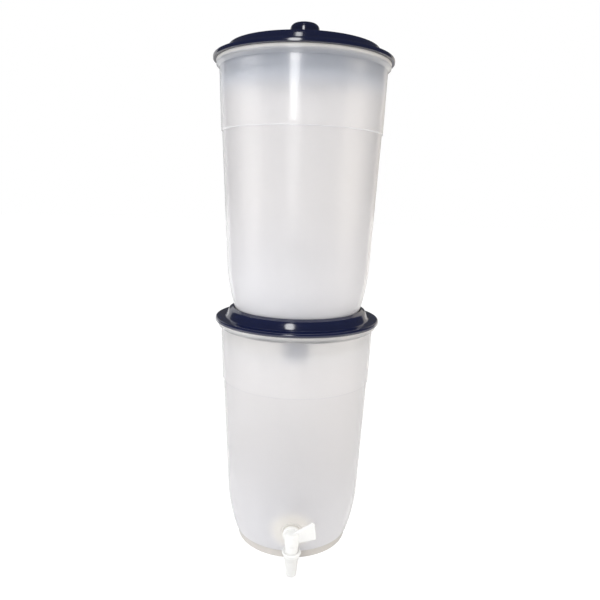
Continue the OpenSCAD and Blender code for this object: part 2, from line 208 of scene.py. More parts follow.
class FILTER_PG_tap(bpy.types.PropertyGroup):
    """Sizes of the tap."""
    height: length("Height", "Height of the stem over the foot", 43.5)
    stem_radius: length("Stem radius", "Radius of the threaded stem", 8)
    pitch: length("Pitch", "Pitch of the threads", 2)
    thread: length("Thread", "Depth of the threads", 0.8)
    boss_radius: length("Boss radius", "Radius of the boss on the wall", 13)
    boss_proud: length("Boss proud", "How far the boss clears the wall", 0.4)
    flange_radius: length("Flange radius", "Radius of the wall flange", 10.8)
    flange: length("Flange", "Thickness of the wall flange", 5)
    washer: length("Washer", "Thickness of each washer", 2)
    nut_width: length("Nut width", "Width of the lock nut", 27)
    nut: length("Nut", "Thickness of the lock nut", 8)
    housing_radius: length("Housing radius", "Radius of the plug's housing", 7.5)
    barrel_radius: length("Barrel radius", "Radius of the barrel", 4.4)
    plug_radius: length("Plug radius", "Radius of the turning plug", 4.6)
    waterway: length("Waterway", "Radius of the waterway", 2.4)
    hub_height: length("Hub height", "Height of the hub over its housing", 14.3)
    lever_reach: length("Lever reach", "Reach of the lever", 28.5)
    lever_end: length("Lever end", "Height of the lever's outer end", 22)
    lever: length("Lever", "Thickness of the lever", 3.6)
    dish_radius: length("Dish radius", "Radius of the spout's dish", 11.3)
    dish_height: length("Dish height", "Height of the dish's side", 4.5)
    spout_height: length("Spout height", "Length of the spout", 31.9)
    tip_radius: length("Tip radius", "Radius of the spout's tip", 5.8)

    @property
    def bore(self):
        """Radius of the housing's bore, in which the plug turns."""
        return self.plug_radius + PLUG_GAP

    @property
    def housing_top(self):
        return self.height + self.barrel_radius + 0.3 * MM

    @property
    def spout_top(self):
        return self.height - self.barrel_radius - 0.2 * MM

    @property
    def dish_floor(self):
        return self.spout_top - 0.8 * MM

    @property
    def housing_bottom(self):
        return self.dish_floor - 5 * MM


class FILTER_PG_inside(bpy.types.PropertyGroup):
    """Sizes of the outlet fitting and the cartridge."""
    adaptor_radius: length("Adaptor radius", "Radius of the adaptor's thread", 11)
    hub_radius: length("Hub radius", "Radius of the adaptor's hub", 15.5)
    hub_height: length("Hub height", "Height of the adaptor's hub", 19)
    thread_height: length("Thread height", "Length of thread under the floor", 35)
    nut_radius: length("Nut radius", "Radius of the outlet nut", 16)
    nut_height: length("Nut height", "Length of the outlet nut", 58)
    flutes: IntProperty(name="Flutes", description="Grip flutes around the outlet nut",
                        default=18, min=3)
    cup_radius: length("Cup radius", "Radius of the cartridge", 30)
    cup_height: length("Cup height", "Height of the cup", 53)
    cup_wall: length("Cup wall", "Wall of the cup", 2)
    slots: IntProperty(name="Slots", description="Slots in the cartridge's cap", default=12, min=3)
    slot_width: length("Slot width", "Width of each slot", 2.4)
    felt: length("Felt", "Thickness of each felt pad", 4)
    granule: length("Granule", "Size of a carbon granule", 1.5)
    spigot_radius: length("Spigot radius", "Radius of the cartridge's spigot", 7.6)
    spigot_height: length("Spigot height", "Length of that spigot", 13)


class FILTER_PG_finish(bpy.types.PropertyGroup):
    """Colours."""
    clear: colour("Clear", "What the frosted wall lets through", (0.985, 0.958, 0.925))
    haze: colour("Haze", "What the frosted wall scatters", (0.835, 0.835, 0.87))
    navy: colour("Navy", "Lid and collar", (0.004, 0.007, 0.034))
    outlet: colour("Outlet", "Outlet fitting", (0.006, 0.03, 0.16))
    white: colour("White", "Tap", (0.80, 0.80, 0.79))
    silicone: colour("Silicone", "Tap washers", (0.92, 0.85, 0.72))
    rubber: colour("Rubber", "Seals", (0.016, 0.016, 0.018))
    felt: colour("Felt", "Felt pads", (0.62, 0.60, 0.55))
    carbon: colour("Carbon", "Granules", (0.012, 0.012, 0.013))
    steel: colour("Steel", "Knob screw", (0.56, 0.56, 0.58))


# Nodes

class Wire:
    """A node's output that can be written in sums, each of which adds a Math node."""

    def __init__(self, nodes, socket):
        self.nodes = nodes
        self.socket = socket

    def other(self, output):
        """Another output of the same node."""
        return Wire(self.nodes, self.socket.node.outputs[output])

    def math(self, operation, *values):
        return self.nodes.add("ShaderNodeMath", {"operation": operation}, dict(enumerate(values)))

    def __add__(self, value):
        return self.math("ADD", self, value)

    __radd__ = __add__

    def __sub__(self, value):
        return self.math("SUBTRACT", self, value)

    def __rsub__(self, value):
        return self.math("SUBTRACT", value, self)

    def __mul__(self, value):
        return self.math("MULTIPLY", self, value)

    __rmul__ = __mul__

    def __gt__(self, value):
        return self.math("GREATER_THAN", self, value)


class Nodes:
    """A node tree to which nodes are added."""

    def __init__(self, tree):
        self.tree = tree
        tree.nodes.clear()

    def add(self, kind, settings=None, inputs=None, output=0):
        """Adds a node, sets it up and gives its sockets their values or links."""
        node = self.tree.nodes.new(kind)
        for key, value in (settings or {}).items():
            setattr(node, key, value)
        for key, value in (inputs or {}).items():
            for item in value if isinstance(value, list) else [value]:
                if isinstance(item, Wire):
                    self.tree.links.new(item.socket, node.inputs[key])
                else:
                    node.inputs[key].default_value = item
        return Wire(self, node.outputs[output]) if node.outputs else None

    def mix(self, factor, first, second):
        """A colour between two colours."""
        return self.add("ShaderNodeMix", {"data_type": "RGBA"},
                        {"Factor": factor, "A": first, "B": second}, "Result")


# Shapes

def rounded(corners):
    """Points of a closed outline, from corners that each give a radius, a height and a rounding."""
    points = []
    for i, (r, z, fillet) in enumerate(corners):
        here = Vector((r, z))
        back = Vector(corners[i - 1][:2]) - here
        ahead = Vector(corners[(i + 1) % len(corners)][:2]) - here
        if fillet == 0:
            points.append(here)
            continue
        half = back.angle(ahead) / 2
        reach = min(fillet / math.tan(half), 0.49 * back.length, 0.49 * ahead.length)
        radius = reach * math.tan(half)
        bisector = (back.normalized() + ahead.normalized()).normalized()
        middle = here + bisector * (radius / math.sin(half))
        first = here + back.normalized() * reach - middle
        turn = first.angle_signed(here + ahead.normalized() * reach - middle)
        for step in range(ARC_STEPS + 1):
            spoke = first.copy()
            spoke.rotate(Matrix.Rotation(-turn * step / ARC_STEPS, 2))
            points.append(middle + spoke)
    return points


def arc(r, z, radius, start, end, steps=CURVE_STEPS):
    """Corners along an arc of an outline, with angles in degrees."""
    angles = [math.radians(start + (end - start) * i / steps) for i in range(steps + 1)]
    return [(r + radius * math.cos(a), z + radius * math.sin(a), 0) for a in angles]


def new_piece(name, mesh):
    piece = bpy.data.objects.new(name, mesh)
    bpy.context.scene.collection.objects.link(piece)
    return piece


def smooth(mesh):
    """Shades a mesh smooth but for its sharp edges."""
    mesh.polygons.foreach_set("use_smooth", [True] * len(mesh.polygons))
    mesh.set_sharp_from_angle(angle=SHARP_ANGLE)


def from_bmesh(name, shape):
    bmesh.ops.recalc_face_normals(shape, faces=shape.faces)
    mesh = bpy.data.meshes.new(name)
    shape.to_mesh(mesh)
    shape.free()
    smooth(mesh)
    return new_piece(name, mesh)


def turned(name, corners, around=AROUND, place=None):
    """Turns a closed outline about Z, then puts it in its place."""
    shape = bmesh.new()
    rings = []
    for r, z in rounded(corners):
        count = 1 if r < 1e-7 else around
        angles = [2 * math.pi * i / around for i in range(count)]
        rings.append([shape.verts.new((r * math.cos(a), r * math.sin(a), z)) for a in angles])
    for low, high in zip(rings, rings[1:] + rings[:1]):
        for i in range(around):
            j = (i + 1) % around
            corner = [low[i % len(low)], low[j % len(low)], high[j % len(high)], high[i % len(high)]]
            face = list(dict.fromkeys(corner))
            if len(face) > 2:
                shape.faces.new(face)
    shape.transform(place or Matrix())
    return from_bmesh(name, shape)


def on_stem(height):
    """Place that turns +Z so that it points out along the tap's stem."""
    return Matrix.Translation((0, 0, height)) @ Matrix.Rotation(math.pi / 2, 4, "X")


def plain(piece):
    """Turns a piece and its modifiers into one plain mesh."""
    graph = bpy.context.evaluated_depsgraph_get()
    mesh = bpy.data.meshes.new_from_object(piece.evaluated_get(graph), depsgraph=graph)
    mesh.name = piece.name
    piece.modifiers.clear()
    spent = piece.data
    piece.data = mesh
    bpy.data.meshes.remove(spent)
    smooth(piece.data)
    return piece


def carved(piece, joined=(), cut=()):
    """Joins solids to a piece, cuts others out of it and removes them."""
    steps = [(tool, "UNION") for tool in joined] + [(tool, "DIFFERENCE") for tool in cut]
    for tool, operation in steps:
        modifier = piece.modifiers.new(operation.title(), "BOOLEAN")
        modifier.operation = operation
        modifier.solver = "EXACT"
        modifier.object = tool
    plain(piece)
    for tool, _ in steps:
        bpy.data.meshes.remove(tool.data)
    return piece


def rod(radius, low, high, place=None):
    """A plain round bar to join or cut with."""
    return turned("Rod", [(0, low, 0), (radius, low, 0), (radius, high, 0), (0, high, 0)],
                  AROUND_SMALL, place)


def ring_corners(outer, inner, low, high, fillet):
    return [(inner, low, fillet), (outer, low, fillet), (outer, high, fillet), (inner, high, fillet)]


def cord_corners(middle_radius, z, radius):
    """Outline of a round sealing ring."""
    return arc(middle_radius, z, radius, 0, 337.5, 15)


def slab(name, outline, thickness, fillet):
    """A flat outline in X and Z, thickened evenly about Y and rounded on its edges."""
    shape = bmesh.new()
    corners = [shape.verts.new((x, -thickness / 2, z)) for x, z in outline]
    face = shape.faces.new(corners)
    grown = bmesh.ops.extrude_face_region(shape, geom=[face])
    bmesh.ops.translate(shape, verts=[v for v in grown["geom"] if isinstance(v, bmesh.types.BMVert)],
                        vec=(0, thickness, 0))
    rims = [e for e in shape.edges if abs(e.verts[0].co.y - e.verts[1].co.y) < MM / 10]
    bmesh.ops.bevel(shape, geom=rims, offset=fillet, segments=4, profile=0.5, affect="EDGES")
    return from_bmesh(name, shape)


def dress(piece, material, slot, body, *nodes):
    """Gives a finished piece its material and body, and hides the solids that it stands for; the slot is
    not used.
    """
    piece.data.materials.clear()
    piece.data.materials.append(material)
    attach(piece, body)
    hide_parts(*nodes)


def shaped(piece, tree, values):
    """Runs a Geometry Nodes tree on a piece and keeps the result as a plain mesh."""
    modifier = piece.modifiers.new(tree.name, "NODES")
    modifier.node_group = tree
    for item in tree.interface.items_tree:
        if item.in_out == "INPUT" and item.name in values:
            modifier[item.identifier] = values[item.name]
    return plain(piece)


def new_tree(name, inputs):
    """An empty Geometry Nodes tree with named inputs, and the wires that they give."""
    tree = bpy.data.node_groups.new(name, "GeometryNodeTree")
    tree.interface.new_socket("Geometry", in_out="INPUT", socket_type="NodeSocketGeometry")
    for key, kind in inputs.items():
        tree.interface.new_socket(key, in_out="INPUT", socket_type=kind)
    tree.interface.new_socket("Geometry", in_out="OUTPUT", socket_type="NodeSocketGeometry")
    nodes = Nodes(tree)
    start = nodes.add("NodeGroupInput")
    return tree, nodes, start


def close_tree(nodes, geometry, material):
    """Ends a tree in real geometry with its material."""
    real = nodes.add("GeometryNodeRealizeInstances", inputs={"Geometry": geometry})
    painted = nodes.add("GeometryNodeSetMaterial", inputs={"Geometry": real, "Material": material})
    nodes.add("NodeGroupOutput", inputs={0: painted})


FLOAT = "NodeSocketFloat"
COUNT = "NodeSocketInt"
STUFF = "NodeSocketMaterial"


def thread_tree():
    """Winds a ridge around a stem that stands on Z."""
    tree, n, start = new_tree("Screw thread", {"Radius": FLOAT, "Pitch": FLOAT, "Turns": FLOAT,
                                               "Depth": FLOAT, "Start": FLOAT, "Material": STUFF})
    turns = start.other("Turns")
    path = n.add("GeometryNodeCurveSpiral", inputs={
        "Resolution": 48, "Rotations": turns, "Start Radius": start.other("Radius"),
        "End Radius": start.other("Radius"), "Height": turns * start.other("Pitch")})
    crest = n.add("GeometryNodeCurvePrimitiveCircle", {"mode": "RADIUS"},
                  {"Resolution": 4, "Radius": start.other("Depth")})
    ridge = n.add("GeometryNodeCurveToMesh", inputs={"Curve": path, "Profile Curve": crest,
                                                     "Fill Caps": True})
    lift = n.add("ShaderNodeCombineXYZ", inputs={"Z": start.other("Start")})
    raised = n.add("GeometryNodeTransform", inputs={"Geometry": ridge, "Translation": lift})
    both = n.add("GeometryNodeJoinGeometry", inputs={"Geometry": [start.other("Geometry"), raised]})
    close_tree(n, both, start.other("Material"))
    return tree


def threaded(piece, root, low, high, material):
    """Winds a thread around a stem, with run-outs at both of its ends."""
    t = bpy.context.scene.filter_tap
    shaped(piece, thread_tree(), {
        "Radius": root, "Pitch": t.pitch, "Turns": (high - low) / t.pitch - 2 * RUN_OUT,
        "Depth": t.thread, "Start": low + RUN_OUT * t.pitch, "Material": material})


def flute_tree():
    """Presses upright flutes into the outside of a sleeve that stands on Z."""
    tree, n, start = new_tree("Grip flutes", {"Count": COUNT, "Depth": FLOAT, "Radius": FLOAT,
                                              "Bottom": FLOAT, "Material": STUFF})
    spot = n.add("GeometryNodeInputPosition")
    x = n.add("ShaderNodeSeparateXYZ", inputs={0: spot}, output="X")
    y = x.other("Y")
    across = x.math("SQRT", x * x + y * y)
    wave = x.math("COSINE", x.math("ARCTAN2", y, x) * start.other("Count"))
    press = x.math("MAXIMUM", wave, 0.0) * start.other("Depth")
    outside = (across > start.other("Radius")) * (x.other("Z") > start.other("Bottom"))
    outward = n.add("ShaderNodeVectorMath", {"operation": "NORMALIZE"},
                    {0: n.add("ShaderNodeCombineXYZ", inputs={"X": x, "Y": y})})
    offset = n.add("ShaderNodeVectorMath", {"operation": "SCALE"},
                   {0: outward, "Scale": press * outside * -1.0})
    moved = n.add("GeometryNodeSetPosition", inputs={"Geometry": start.other("Geometry"),
                                                     "Offset": offset})
    close_tree(n, moved, start.other("Material"))
    return tree


def slot_tree():
    """Cuts slots like spokes through a disc that stands on Z."""
    tree, n, start = new_tree("Spoke slots", {"Count": COUNT, "Width": FLOAT, "Length": FLOAT,
                                              "Radius": FLOAT, "Height": FLOAT, "Material": STUFF})
    size = n.add("ShaderNodeCombineXYZ", inputs={"X": start.other("Length"), "Y": start.other("Width"),
                                                 "Z": start.other("Length")})
    cutter = n.add("GeometryNodeMeshCube", inputs={"Size": size}, output="Mesh")
    circle = n.add("GeometryNodeMeshCircle", inputs={"Vertices": start.other("Count"),
                                                     "Radius": start.other("Radius")})
    lift = n.add("ShaderNodeCombineXYZ", inputs={"Z": start.other("Height")})
    raised = n.add("GeometryNodeTransform", inputs={"Geometry": circle, "Translation": lift})
    spot = n.add("ShaderNodeSeparateXYZ", inputs={0: n.add("GeometryNodeInputPosition")}, output="X")
    turn = spot.math("ARCTAN2", spot.other("Y"), spot)
    angle = n.add("ShaderNodeCombineXYZ", inputs={"Z": turn})
    spokes = n.add("GeometryNodeInstanceOnPoints", inputs={"Points": raised, "Instance": cutter,
                                                           "Rotation": angle})
    solid = n.add("GeometryNodeRealizeInstances", inputs={"Geometry": spokes})
    slotted = n.add("GeometryNodeMeshBoolean", {"operation": "DIFFERENCE", "solver": "EXACT"},
                    {"Mesh 1": start.other("Geometry"), "Mesh 2": [solid]})
    close_tree(n, slotted, start.other("Material"))
    return tree


def granule_tree():
    """Covers a surface with broken granules."""
    tree, n, start = new_tree("Granules", {"Spacing": FLOAT, "Size": FLOAT, "Seed": COUNT,
                                           "Material": STUFF})
    spots = n.add("GeometryNodeDistributePointsOnFaces", {"distribute_method": "POISSON"},
                  {"Mesh": start.other("Geometry"), "Distance Min": start.other("Spacing"),
                   "Density Max": 6e5, "Seed": start.other("Seed")}, "Points")
    chip = n.add("GeometryNodeMeshIcoSphere", inputs={"Radius": start.other("Size") * 0.5,
                                                      "Subdivisions": 1}, output="Mesh")
    turn = n.add("FunctionNodeRandomValue", {"data_type": "FLOAT_VECTOR"},
                 {"Max": (6.283, 6.283, 6.283), "Seed": start.other("Seed")}, "Value")
    stretch = n.add("FunctionNodeRandomValue", {"data_type": "FLOAT_VECTOR"},
                    {"Min": (0.6, 0.6, 0.5), "Max": (1.1, 0.9, 0.8), "Seed": start.other("Seed") + 1},
                    "Value")
    chips = n.add("GeometryNodeInstanceOnPoints", inputs={"Points": spots, "Instance": chip,
                                                          "Rotation": turn, "Scale": stretch})
    both = n.add("GeometryNodeJoinGeometry", inputs={"Geometry": [start.other("Geometry"), chips]})
    close_tree(n, both, start.other("Material"))
    return tree


# Materials

def new_material(name):
    """A material without nodes, and what adds them."""
    made = bpy.data.materials.new(name)
    made.use_nodes = True
    return made, Nodes(made.node_tree)


def moulded_material(name):
    """A new material, what adds its nodes, and the place on the piece."""
    made, n = new_material(name)
    return made, n, n.add("ShaderNodeTexCoord", output="Object")


def noise(n, place, scale, detail):
    """A cloudy pattern from 0 to 1, with its scale in clouds for each metre."""
    return n.add("ShaderNodeTexNoise", inputs={"Vector": place, "Scale": scale, "Detail": detail})


def bump(n, height, strength, distance):
    return n.add("ShaderNodeBump", inputs={"Strength": strength, "Distance": distance,
                                           "Height": height})


def plastic(n, **sockets):
    """A Principled shader, with its sockets named in words."""
    return n.add("ShaderNodeBsdfPrincipled",
                 inputs={key.replace("_", " ").title().replace("Ior", "IOR"): value
                         for key, value in sockets.items()})


def surface(n, **sockets):
    """Ends a material in one Principled shader."""
    n.add("ShaderNodeOutputMaterial", inputs={"Surface": plastic(n, **sockets)})


def tinted(value, factor):
    """A colour made lighter or darker, with its alpha."""
    return tuple(min(1.0, channel * factor) for channel in value) + (1.0,)


CLOUDY_HEIGHT = 0.16
HAZE_SHARE = 0.355
LOW_HAZE = 0.28
RIM_SHARE = 0.34
FOOT_SHARE = 0.32
STEP_SHARE = 0.2
# How much less haze the wall has just under the rim, which darkens it there: painted shade from the lip.
RIM_SHADOW_SHARE = 0.13
RIM_HAZE = (0.90, 0.885, 0.87, 1.0)
RIM_PART = 0.7
RIDGE_HALF = 0.8 * MM
# Where that darker band under the rim starts and fades out: painted shade.
RIM_SHADOW_SPAN = (26 * MM, 11 * MM)
# Where the painted bluish shade under the rim starts and ends.
PAINTED_SHADE_SPAN = (42 * MM, 10 * MM)
WALL_COAT = 0.8
RIM_COAT_LOSS = 0.7
COAT_ROUGHNESS = 0.12
WALL_IOR = 1.3
# The lid's navy is the collar's made darker: painted shade.
LID_PAINTED_SHADE = 0.75
KNOB_SHADE = 0.65
TAP_GLOSS = 0.26
CARTRIDGE_GLOSS = 0.4
# How much greyer the nozzle is below the dish: painted shade.
NOZZLE_PAINTED_SHADE = 0.9
# A cream, cloudier ring round the tap's boss: painted glow.
BOSS_SHARE = 0.17
BOSS_REACH = 34 * MM
BOSS_GLOW_COLOUR = (0.87, 0.845, 0.81, 1.0)
# Bluish colours of the wall under the lid and under the collar: painted shade.
UNDER_LID_PAINTED_SHADE = (0.75, 0.81, 0.93, 1.0)
UNDER_COLLAR_PAINTED_SHADE = (0.82, 0.835, 0.87, 1.0)
# Darker colour of the foot ring: painted shade.
FOOT_PAINTED_SHADE = (0.60, 0.57, 0.54, 1.0)
WALL_TINT = (0.60, 0.53, 0.46, 1.0)
WALL_DENSITY = 5.0


def ramp(n, value, low, high):
    """A smooth rise from 0 at the first value to 1 at the second, which may be the lower one."""
    return n.add("ShaderNodeMapRange", {"interpolation_type": "SMOOTHSTEP"},
                 {"Value": value, "From Min": min(low, high), "From Max": max(low, high),
                  "To Min": float(low > high), "To Max": float(low < high)})


def frosted_material(name, foot, rim_shade_colour, boss=None):
    """Frosted plastic, cloudier at its edges and round the boss, with painted light and shade: a bluish
    shade under the rim, a darker foot and a cream glow round the boss.
    """
    made, n, place = moulded_material(name)
    finish = bpy.context.scene.filter_finish
    v = bpy.context.scene.filter_vessel
    height = n.add("ShaderNodeSeparateXYZ", inputs={0: place}, output="Z")
    step = foot + v.step_height
    flange = foot + LOWER_RIM - RIM_PART * v.rim_face
    band = ramp(n, height, step - MM, step + MM)
    rim = ramp(n, height, flange - MM / 2, flange + MM / 2)
    base = ramp(n, height, foot + v.foot_height, foot + v.foot_height - 2 * MM)
    low = ramp(n, height, foot + CLOUDY_HEIGHT, foot)
    ridge = height.math("COMPARE", height, step, RIDGE_HALF)
    # Less haze just under the rim darkens the wall: painted shade from the lip.
    under = ramp(n, height, *(flange - drop for drop in RIM_SHADOW_SPAN))
    # Band under the rim that takes the painted bluish shade.
    rim_shade_tint = ramp(n, height, *(flange - drop for drop in PAINTED_SHADE_SPAN))
    cloud = noise(n, place, 14.0, 4.0)
    grain = noise(n, place, 1400.0, 2.0)
    flow = n.add("ShaderNodeMapping", inputs={"Vector": place, "Scale": (40.0, 40.0, 4.0)})
    streak = noise(n, flow, 1.0, 3.0)
    texture = bump(n, grain + 0.6 * streak, 0.12, 0.1 * MM)
    wall_haze = n.mix(cloud, tinted(finish.haze, 0.97), tinted(finish.haze, 1.0))
    band_haze = n.mix(cloud, tinted(finish.haze, 1.02), tinted(finish.haze, 1.05))
    # The wall under the rim takes the painted bluish shade.
    wall = n.mix(rim_shade_tint, n.mix(band, wall_haze, band_haze), rim_shade_colour)
    # The foot ring takes a darker colour: painted shade.
    scattered = n.mix(base, n.mix(rim, wall, RIM_HAZE), FOOT_PAINTED_SHADE)
    coat = WALL_COAT - RIM_COAT_LOSS * rim
    share = (HAZE_SHARE + LOW_HAZE * low + RIM_SHARE * rim + FOOT_SHARE * base + STEP_SHARE * ridge
             - RIM_SHADOW_SHARE * under)
    if boss is not None:
        away = n.add("ShaderNodeVectorMath", {"operation": "DISTANCE"}, {0: place, 1: boss}, "Value")
        # Cream ring round the boss: painted glow.
        boss_glow = ramp(n, away, BOSS_REACH, BOSS_REACH / 2)
        scattered = n.mix(boss_glow, scattered, BOSS_GLOW_COLOUR)
        share = share + BOSS_SHARE * boss_glow
    clear = plastic(n, base_color=n.mix(cloud, tinted(finish.clear, 0.99), tinted(finish.clear, 1.0)),
                    roughness=0.3 + 0.04 * streak + 0.02 * cloud, transmission_weight=1.0,
                    ior=WALL_IOR, coat_weight=coat, coat_roughness=COAT_ROUGHNESS, normal=texture)
    haze = plastic(n, base_color=scattered, roughness=0.4 + 0.1 * streak,
                   coat_weight=coat, coat_roughness=COAT_ROUGHNESS, normal=texture)
    mixed = n.add("ShaderNodeMixShader", inputs={0: share, 1: clear, 2: haze})
    inside = n.add("ShaderNodeVolumeAbsorption", inputs={"Color": WALL_TINT, "Density": WALL_DENSITY})
    n.add("ShaderNodeOutputMaterial", inputs={"Surface": mixed, "Volume": inside})
    return made


def navy_material(name, base, shade=1.0):
    """Glossy moulded plastic with a little orange peel and faint wiping marks."""
    made, n, place = moulded_material(name)
    cloud = noise(n, place, 35.0, 4.0)
    peel = noise(n, place, 420.0, 1.0)
    wiped = n.add("ShaderNodeMapping", inputs={"Vector": place, "Rotation": (0.0, 0.0, 0.6),
                                               "Scale": (30.0, 900.0, 300.0)})
    marks = noise(n, wiped, 1.0, 2.0)
    surface(n, base_color=n.mix(cloud, tinted(base, 0.85 * shade), tinted(base, 1.15 * shade)),
            roughness=0.08 + 0.05 * cloud + 0.04 * marks, specular_ior_level=1.0,
            normal=bump(n, peel + 0.15 * marks, 0.10, 0.08 * MM))
    return made


def white_material(name, base, gloss, neck=None):
    """White moulded plastic with soft mould marks, greyer below its neck if it has one: painted shade
    under the dish.
    """
    made, n, place = moulded_material(name)
    cloud = noise(n, place, 90.0, 4.0)
    grain = noise(n, place, 1600.0, 2.0)
    tone = n.mix(cloud, tinted(base, 0.97), tinted(base, 1.03))
    if neck is not None:
        # Below the neck the white is greyed: painted shade under the dish.
        height = n.add("ShaderNodeSeparateXYZ", inputs={0: place}, output="Z")
        tone = n.mix(ramp(n, height, neck, neck - 2 * MM), tone, tinted(base, NOZZLE_PAINTED_SHADE))
    surface(n, base_color=tone, roughness=gloss + 0.08 * cloud, ior=1.5,
            normal=bump(n, grain, 0.08, 0.06 * MM))
    return made


def rubber_material(name, base, clear):
    """Soft rubber with a dusty bloom."""
    made, n, place = moulded_material(name)
    bloom = noise(n, place, 160.0, 5.0)
    grain = noise(n, place, 2200.0, 2.0)
    surface(n, base_color=n.mix(bloom, tinted(base, 0.85), tinted(base, 1.25)),
            roughness=0.5 + 0.2 * bloom, transmission_weight=clear, ior=1.41,
            normal=bump(n, grain, 0.2, 0.08 * MM))
    return made


def felt_material():
    """Pressed felt with short crossed fibres."""
    made, n, place = moulded_material("Pressed felt")
    base = bpy.context.scene.filter_finish.felt
    fibres = []
    for turn in (0.3, 1.5, 2.6):
        laid = n.add("ShaderNodeMapping", inputs={"Vector": place, "Rotation": (0.2, 0.3, turn),
                                                  "Scale": (2600.0, 300.0, 2600.0)})
        fibres.append(noise(n, laid, 1.0, 2.0))
    nap = fibres[0] * 0.33 + fibres[1] * 0.33 + fibres[2] * 0.33
    surface(n, base_color=n.mix(nap, tinted(base, 0.55), tinted(base, 1.3)), roughness=0.95,
            sheen_weight=0.4, normal=bump(n, nap, 0.6, 0.3 * MM))
    return made


def carbon_material():
    """Black granules with a few bright broken faces."""
    made, n, place = moulded_material("Active carbon")
    base = bpy.context.scene.filter_finish.carbon
    chip = n.add("ShaderNodeTexVoronoi", inputs={"Vector": place, "Scale": 900.0}, output="Distance")
    pore = noise(n, place, 3000.0, 3.0)
    surface(n, base_color=n.mix(pore, tinted(base, 0.6), tinted(base, 2.2)),
            roughness=0.75 - 0.45 * (chip * chip), normal=bump(n, pore + chip, 0.5, 0.15 * MM))
    return made


def steel_material():
    """Stainless steel with turning marks."""
    made, n, place = moulded_material("Stainless steel")
    base = bpy.context.scene.filter_finish.steel
    lines = n.add("ShaderNodeTexWave", {"wave_type": "RINGS", "rings_direction": "Z"},
                  {"Vector": place, "Scale": 900.0, "Distortion": 1.5, "Detail": 2.0}, "Fac")
    smear = noise(n, place, 300.0, 4.0)
    surface(n, base_color=n.mix(smear, tinted(base, 0.85), tinted(base, 1.1)), metallic=1.0,
            roughness=0.28 + 0.1 * smear, normal=bump(n, lines, 0.1, 0.05 * MM))
    return made


# Pieces

def between(start, end):
    """Corners that split the straight between two corners of a wall."""
    shares = [i / WALL_STEPS for i in range(1, WALL_STEPS)]
    return [(start[0] + (end[0] - start[0]) * t, start[1] + (end[1] - start[1]) * t, 0) for t in shares]


def tub_corners(foot):
    """Outline of one tub that stands on a height."""
    v = bpy.context.scene.filter_vessel
    step_radius = v.wall_radius + v.step_width
    band_top = step_radius + v.band_flare
    floor_edge = v.foot_height
    rise = v.corner_start - floor_edge
    heights = [floor_edge + rise * i / CURVE_STEPS for i in range(CURVE_STEPS + 1)]
    underside = v.foot_height - v.floor
    foot_top = v.foot_top_radius
    foot_low = foot_top - v.foot_taper
    inner_step = (v.wall_radius - v.wall, v.step_height, 8 * MM)
    mouth = (v.mouth_radius, LOWER_RIM, MODEST)
    band_high = (band_top, LOWER_RIM - v.rim_drop, EDGE)
    band_low = (step_radius, v.step_height, SLIGHT)
    step = (v.wall_radius, v.step_height, SLIGHT)
    inner = [(v.inner_radius(z), z, 0) for z in heights]
    outer = [(v.outer_radius(z), z, 0) for z in heights]
    corners = [(0, floor_edge, 0), (*inner[0][:2], 2 * MM)] + inner[2:]
    corners += between(inner[-1], inner_step) + [inner_step] + between(inner_step, mouth) + [mouth]
    corners += [(v.rim_radius, LOWER_RIM, EDGE), (v.rim_radius, LOWER_RIM - v.rim_face, EDGE)]
    corners += [band_high] + between(band_high, band_low) + [band_low, step]
    corners += between(step, outer[-1]) + outer[:0:-1]
    corners += [(v.outer_radius(floor_edge), floor_edge, MODEST), (foot_top, floor_edge, MODEST),
                (foot_low, 0, 0.7 * MM), (foot_low - v.foot_wall, 0, 0.7 * MM),
                (foot_top - v.foot_wall, underside, 1.5 * MM), (0, underside, 0)]
    return [(r, z + foot, fillet) for r, z, fillet in corners]


def boss_span():
    """Where the boss on the lower tub starts and ends along the tap's stem."""
    v = bpy.context.scene.filter_vessel
    t = bpy.context.scene.filter_tap
    back = v.inner_radius(t.height - t.boss_radius) - t.boss_proud
    face = v.outer_radius(t.height + t.boss_radius) + t.boss_proud
    return back, face


class FILTER_OT_vessels(bpy.types.Operator):
    """Moulds the two frosted tubs"""
    bl_idname = "filter.vessels"
    bl_label = "Tubs"

    def execute(self, context):
        v = context.scene.filter_vessel
        t = context.scene.filter_tap
        inside = context.scene.filter_inside
        back, face = boss_span()
        place = on_stem(t.height)
        lower = turned("Lower_tub", tub_corners(0))
        boss = turned("Boss", [(0, back, 0), (t.boss_radius, back, MODEST),
                               (t.boss_radius, face, EDGE), (0, face, 0)], AROUND_SMALL, place)
        carved(lower, [boss], [rod(t.stem_radius + STEM_GAP, back - MM, face + MM, place)])
        # The lower tub gets a painted bluish shade under the collar and a painted glow round the boss.
        frosted = frosted_material("Frosted lower tub", 0, UNDER_COLLAR_PAINTED_SHADE, (0, -face, t.height))
        dress(lower, frosted, "frosted_vessel", "lower_vessel", "lower_vessel")
        upper = turned("Upper_tub", tub_corners(UPPER_FOOT))
        hole = rod(inside.adaptor_radius + STEM_GAP, UPPER_FOOT, UPPER_FOOT + v.foot_height + MM)
        carved(upper, cut=[hole])
        # The upper tub gets a painted bluish shade under the lid.
        frosted = frosted_material("Frosted upper tub", UPPER_FOOT, UNDER_LID_PAINTED_SHADE)
        dress(upper, frosted, "frosted_vessel", "upper_vessel", "upper_vessel")
        return {"FINISHED"}


def shoulder(t):
    """A point of the shoulder's curve, from its foot at 0 to its top at 1."""
    v = bpy.context.scene.filter_vessel
    c = bpy.context.scene.filter_cover
    rise = (1 - math.cos(SHOULDER_TURN * t)) / (1 - math.cos(SHOULDER_TURN))
    foot = skirt_radius(v, c) - c.skirt + SHELL_SHIFT * c.shell
    return foot - c.shoulder_in * t, c.lip + (c.shoulder_height - c.lip) * rise


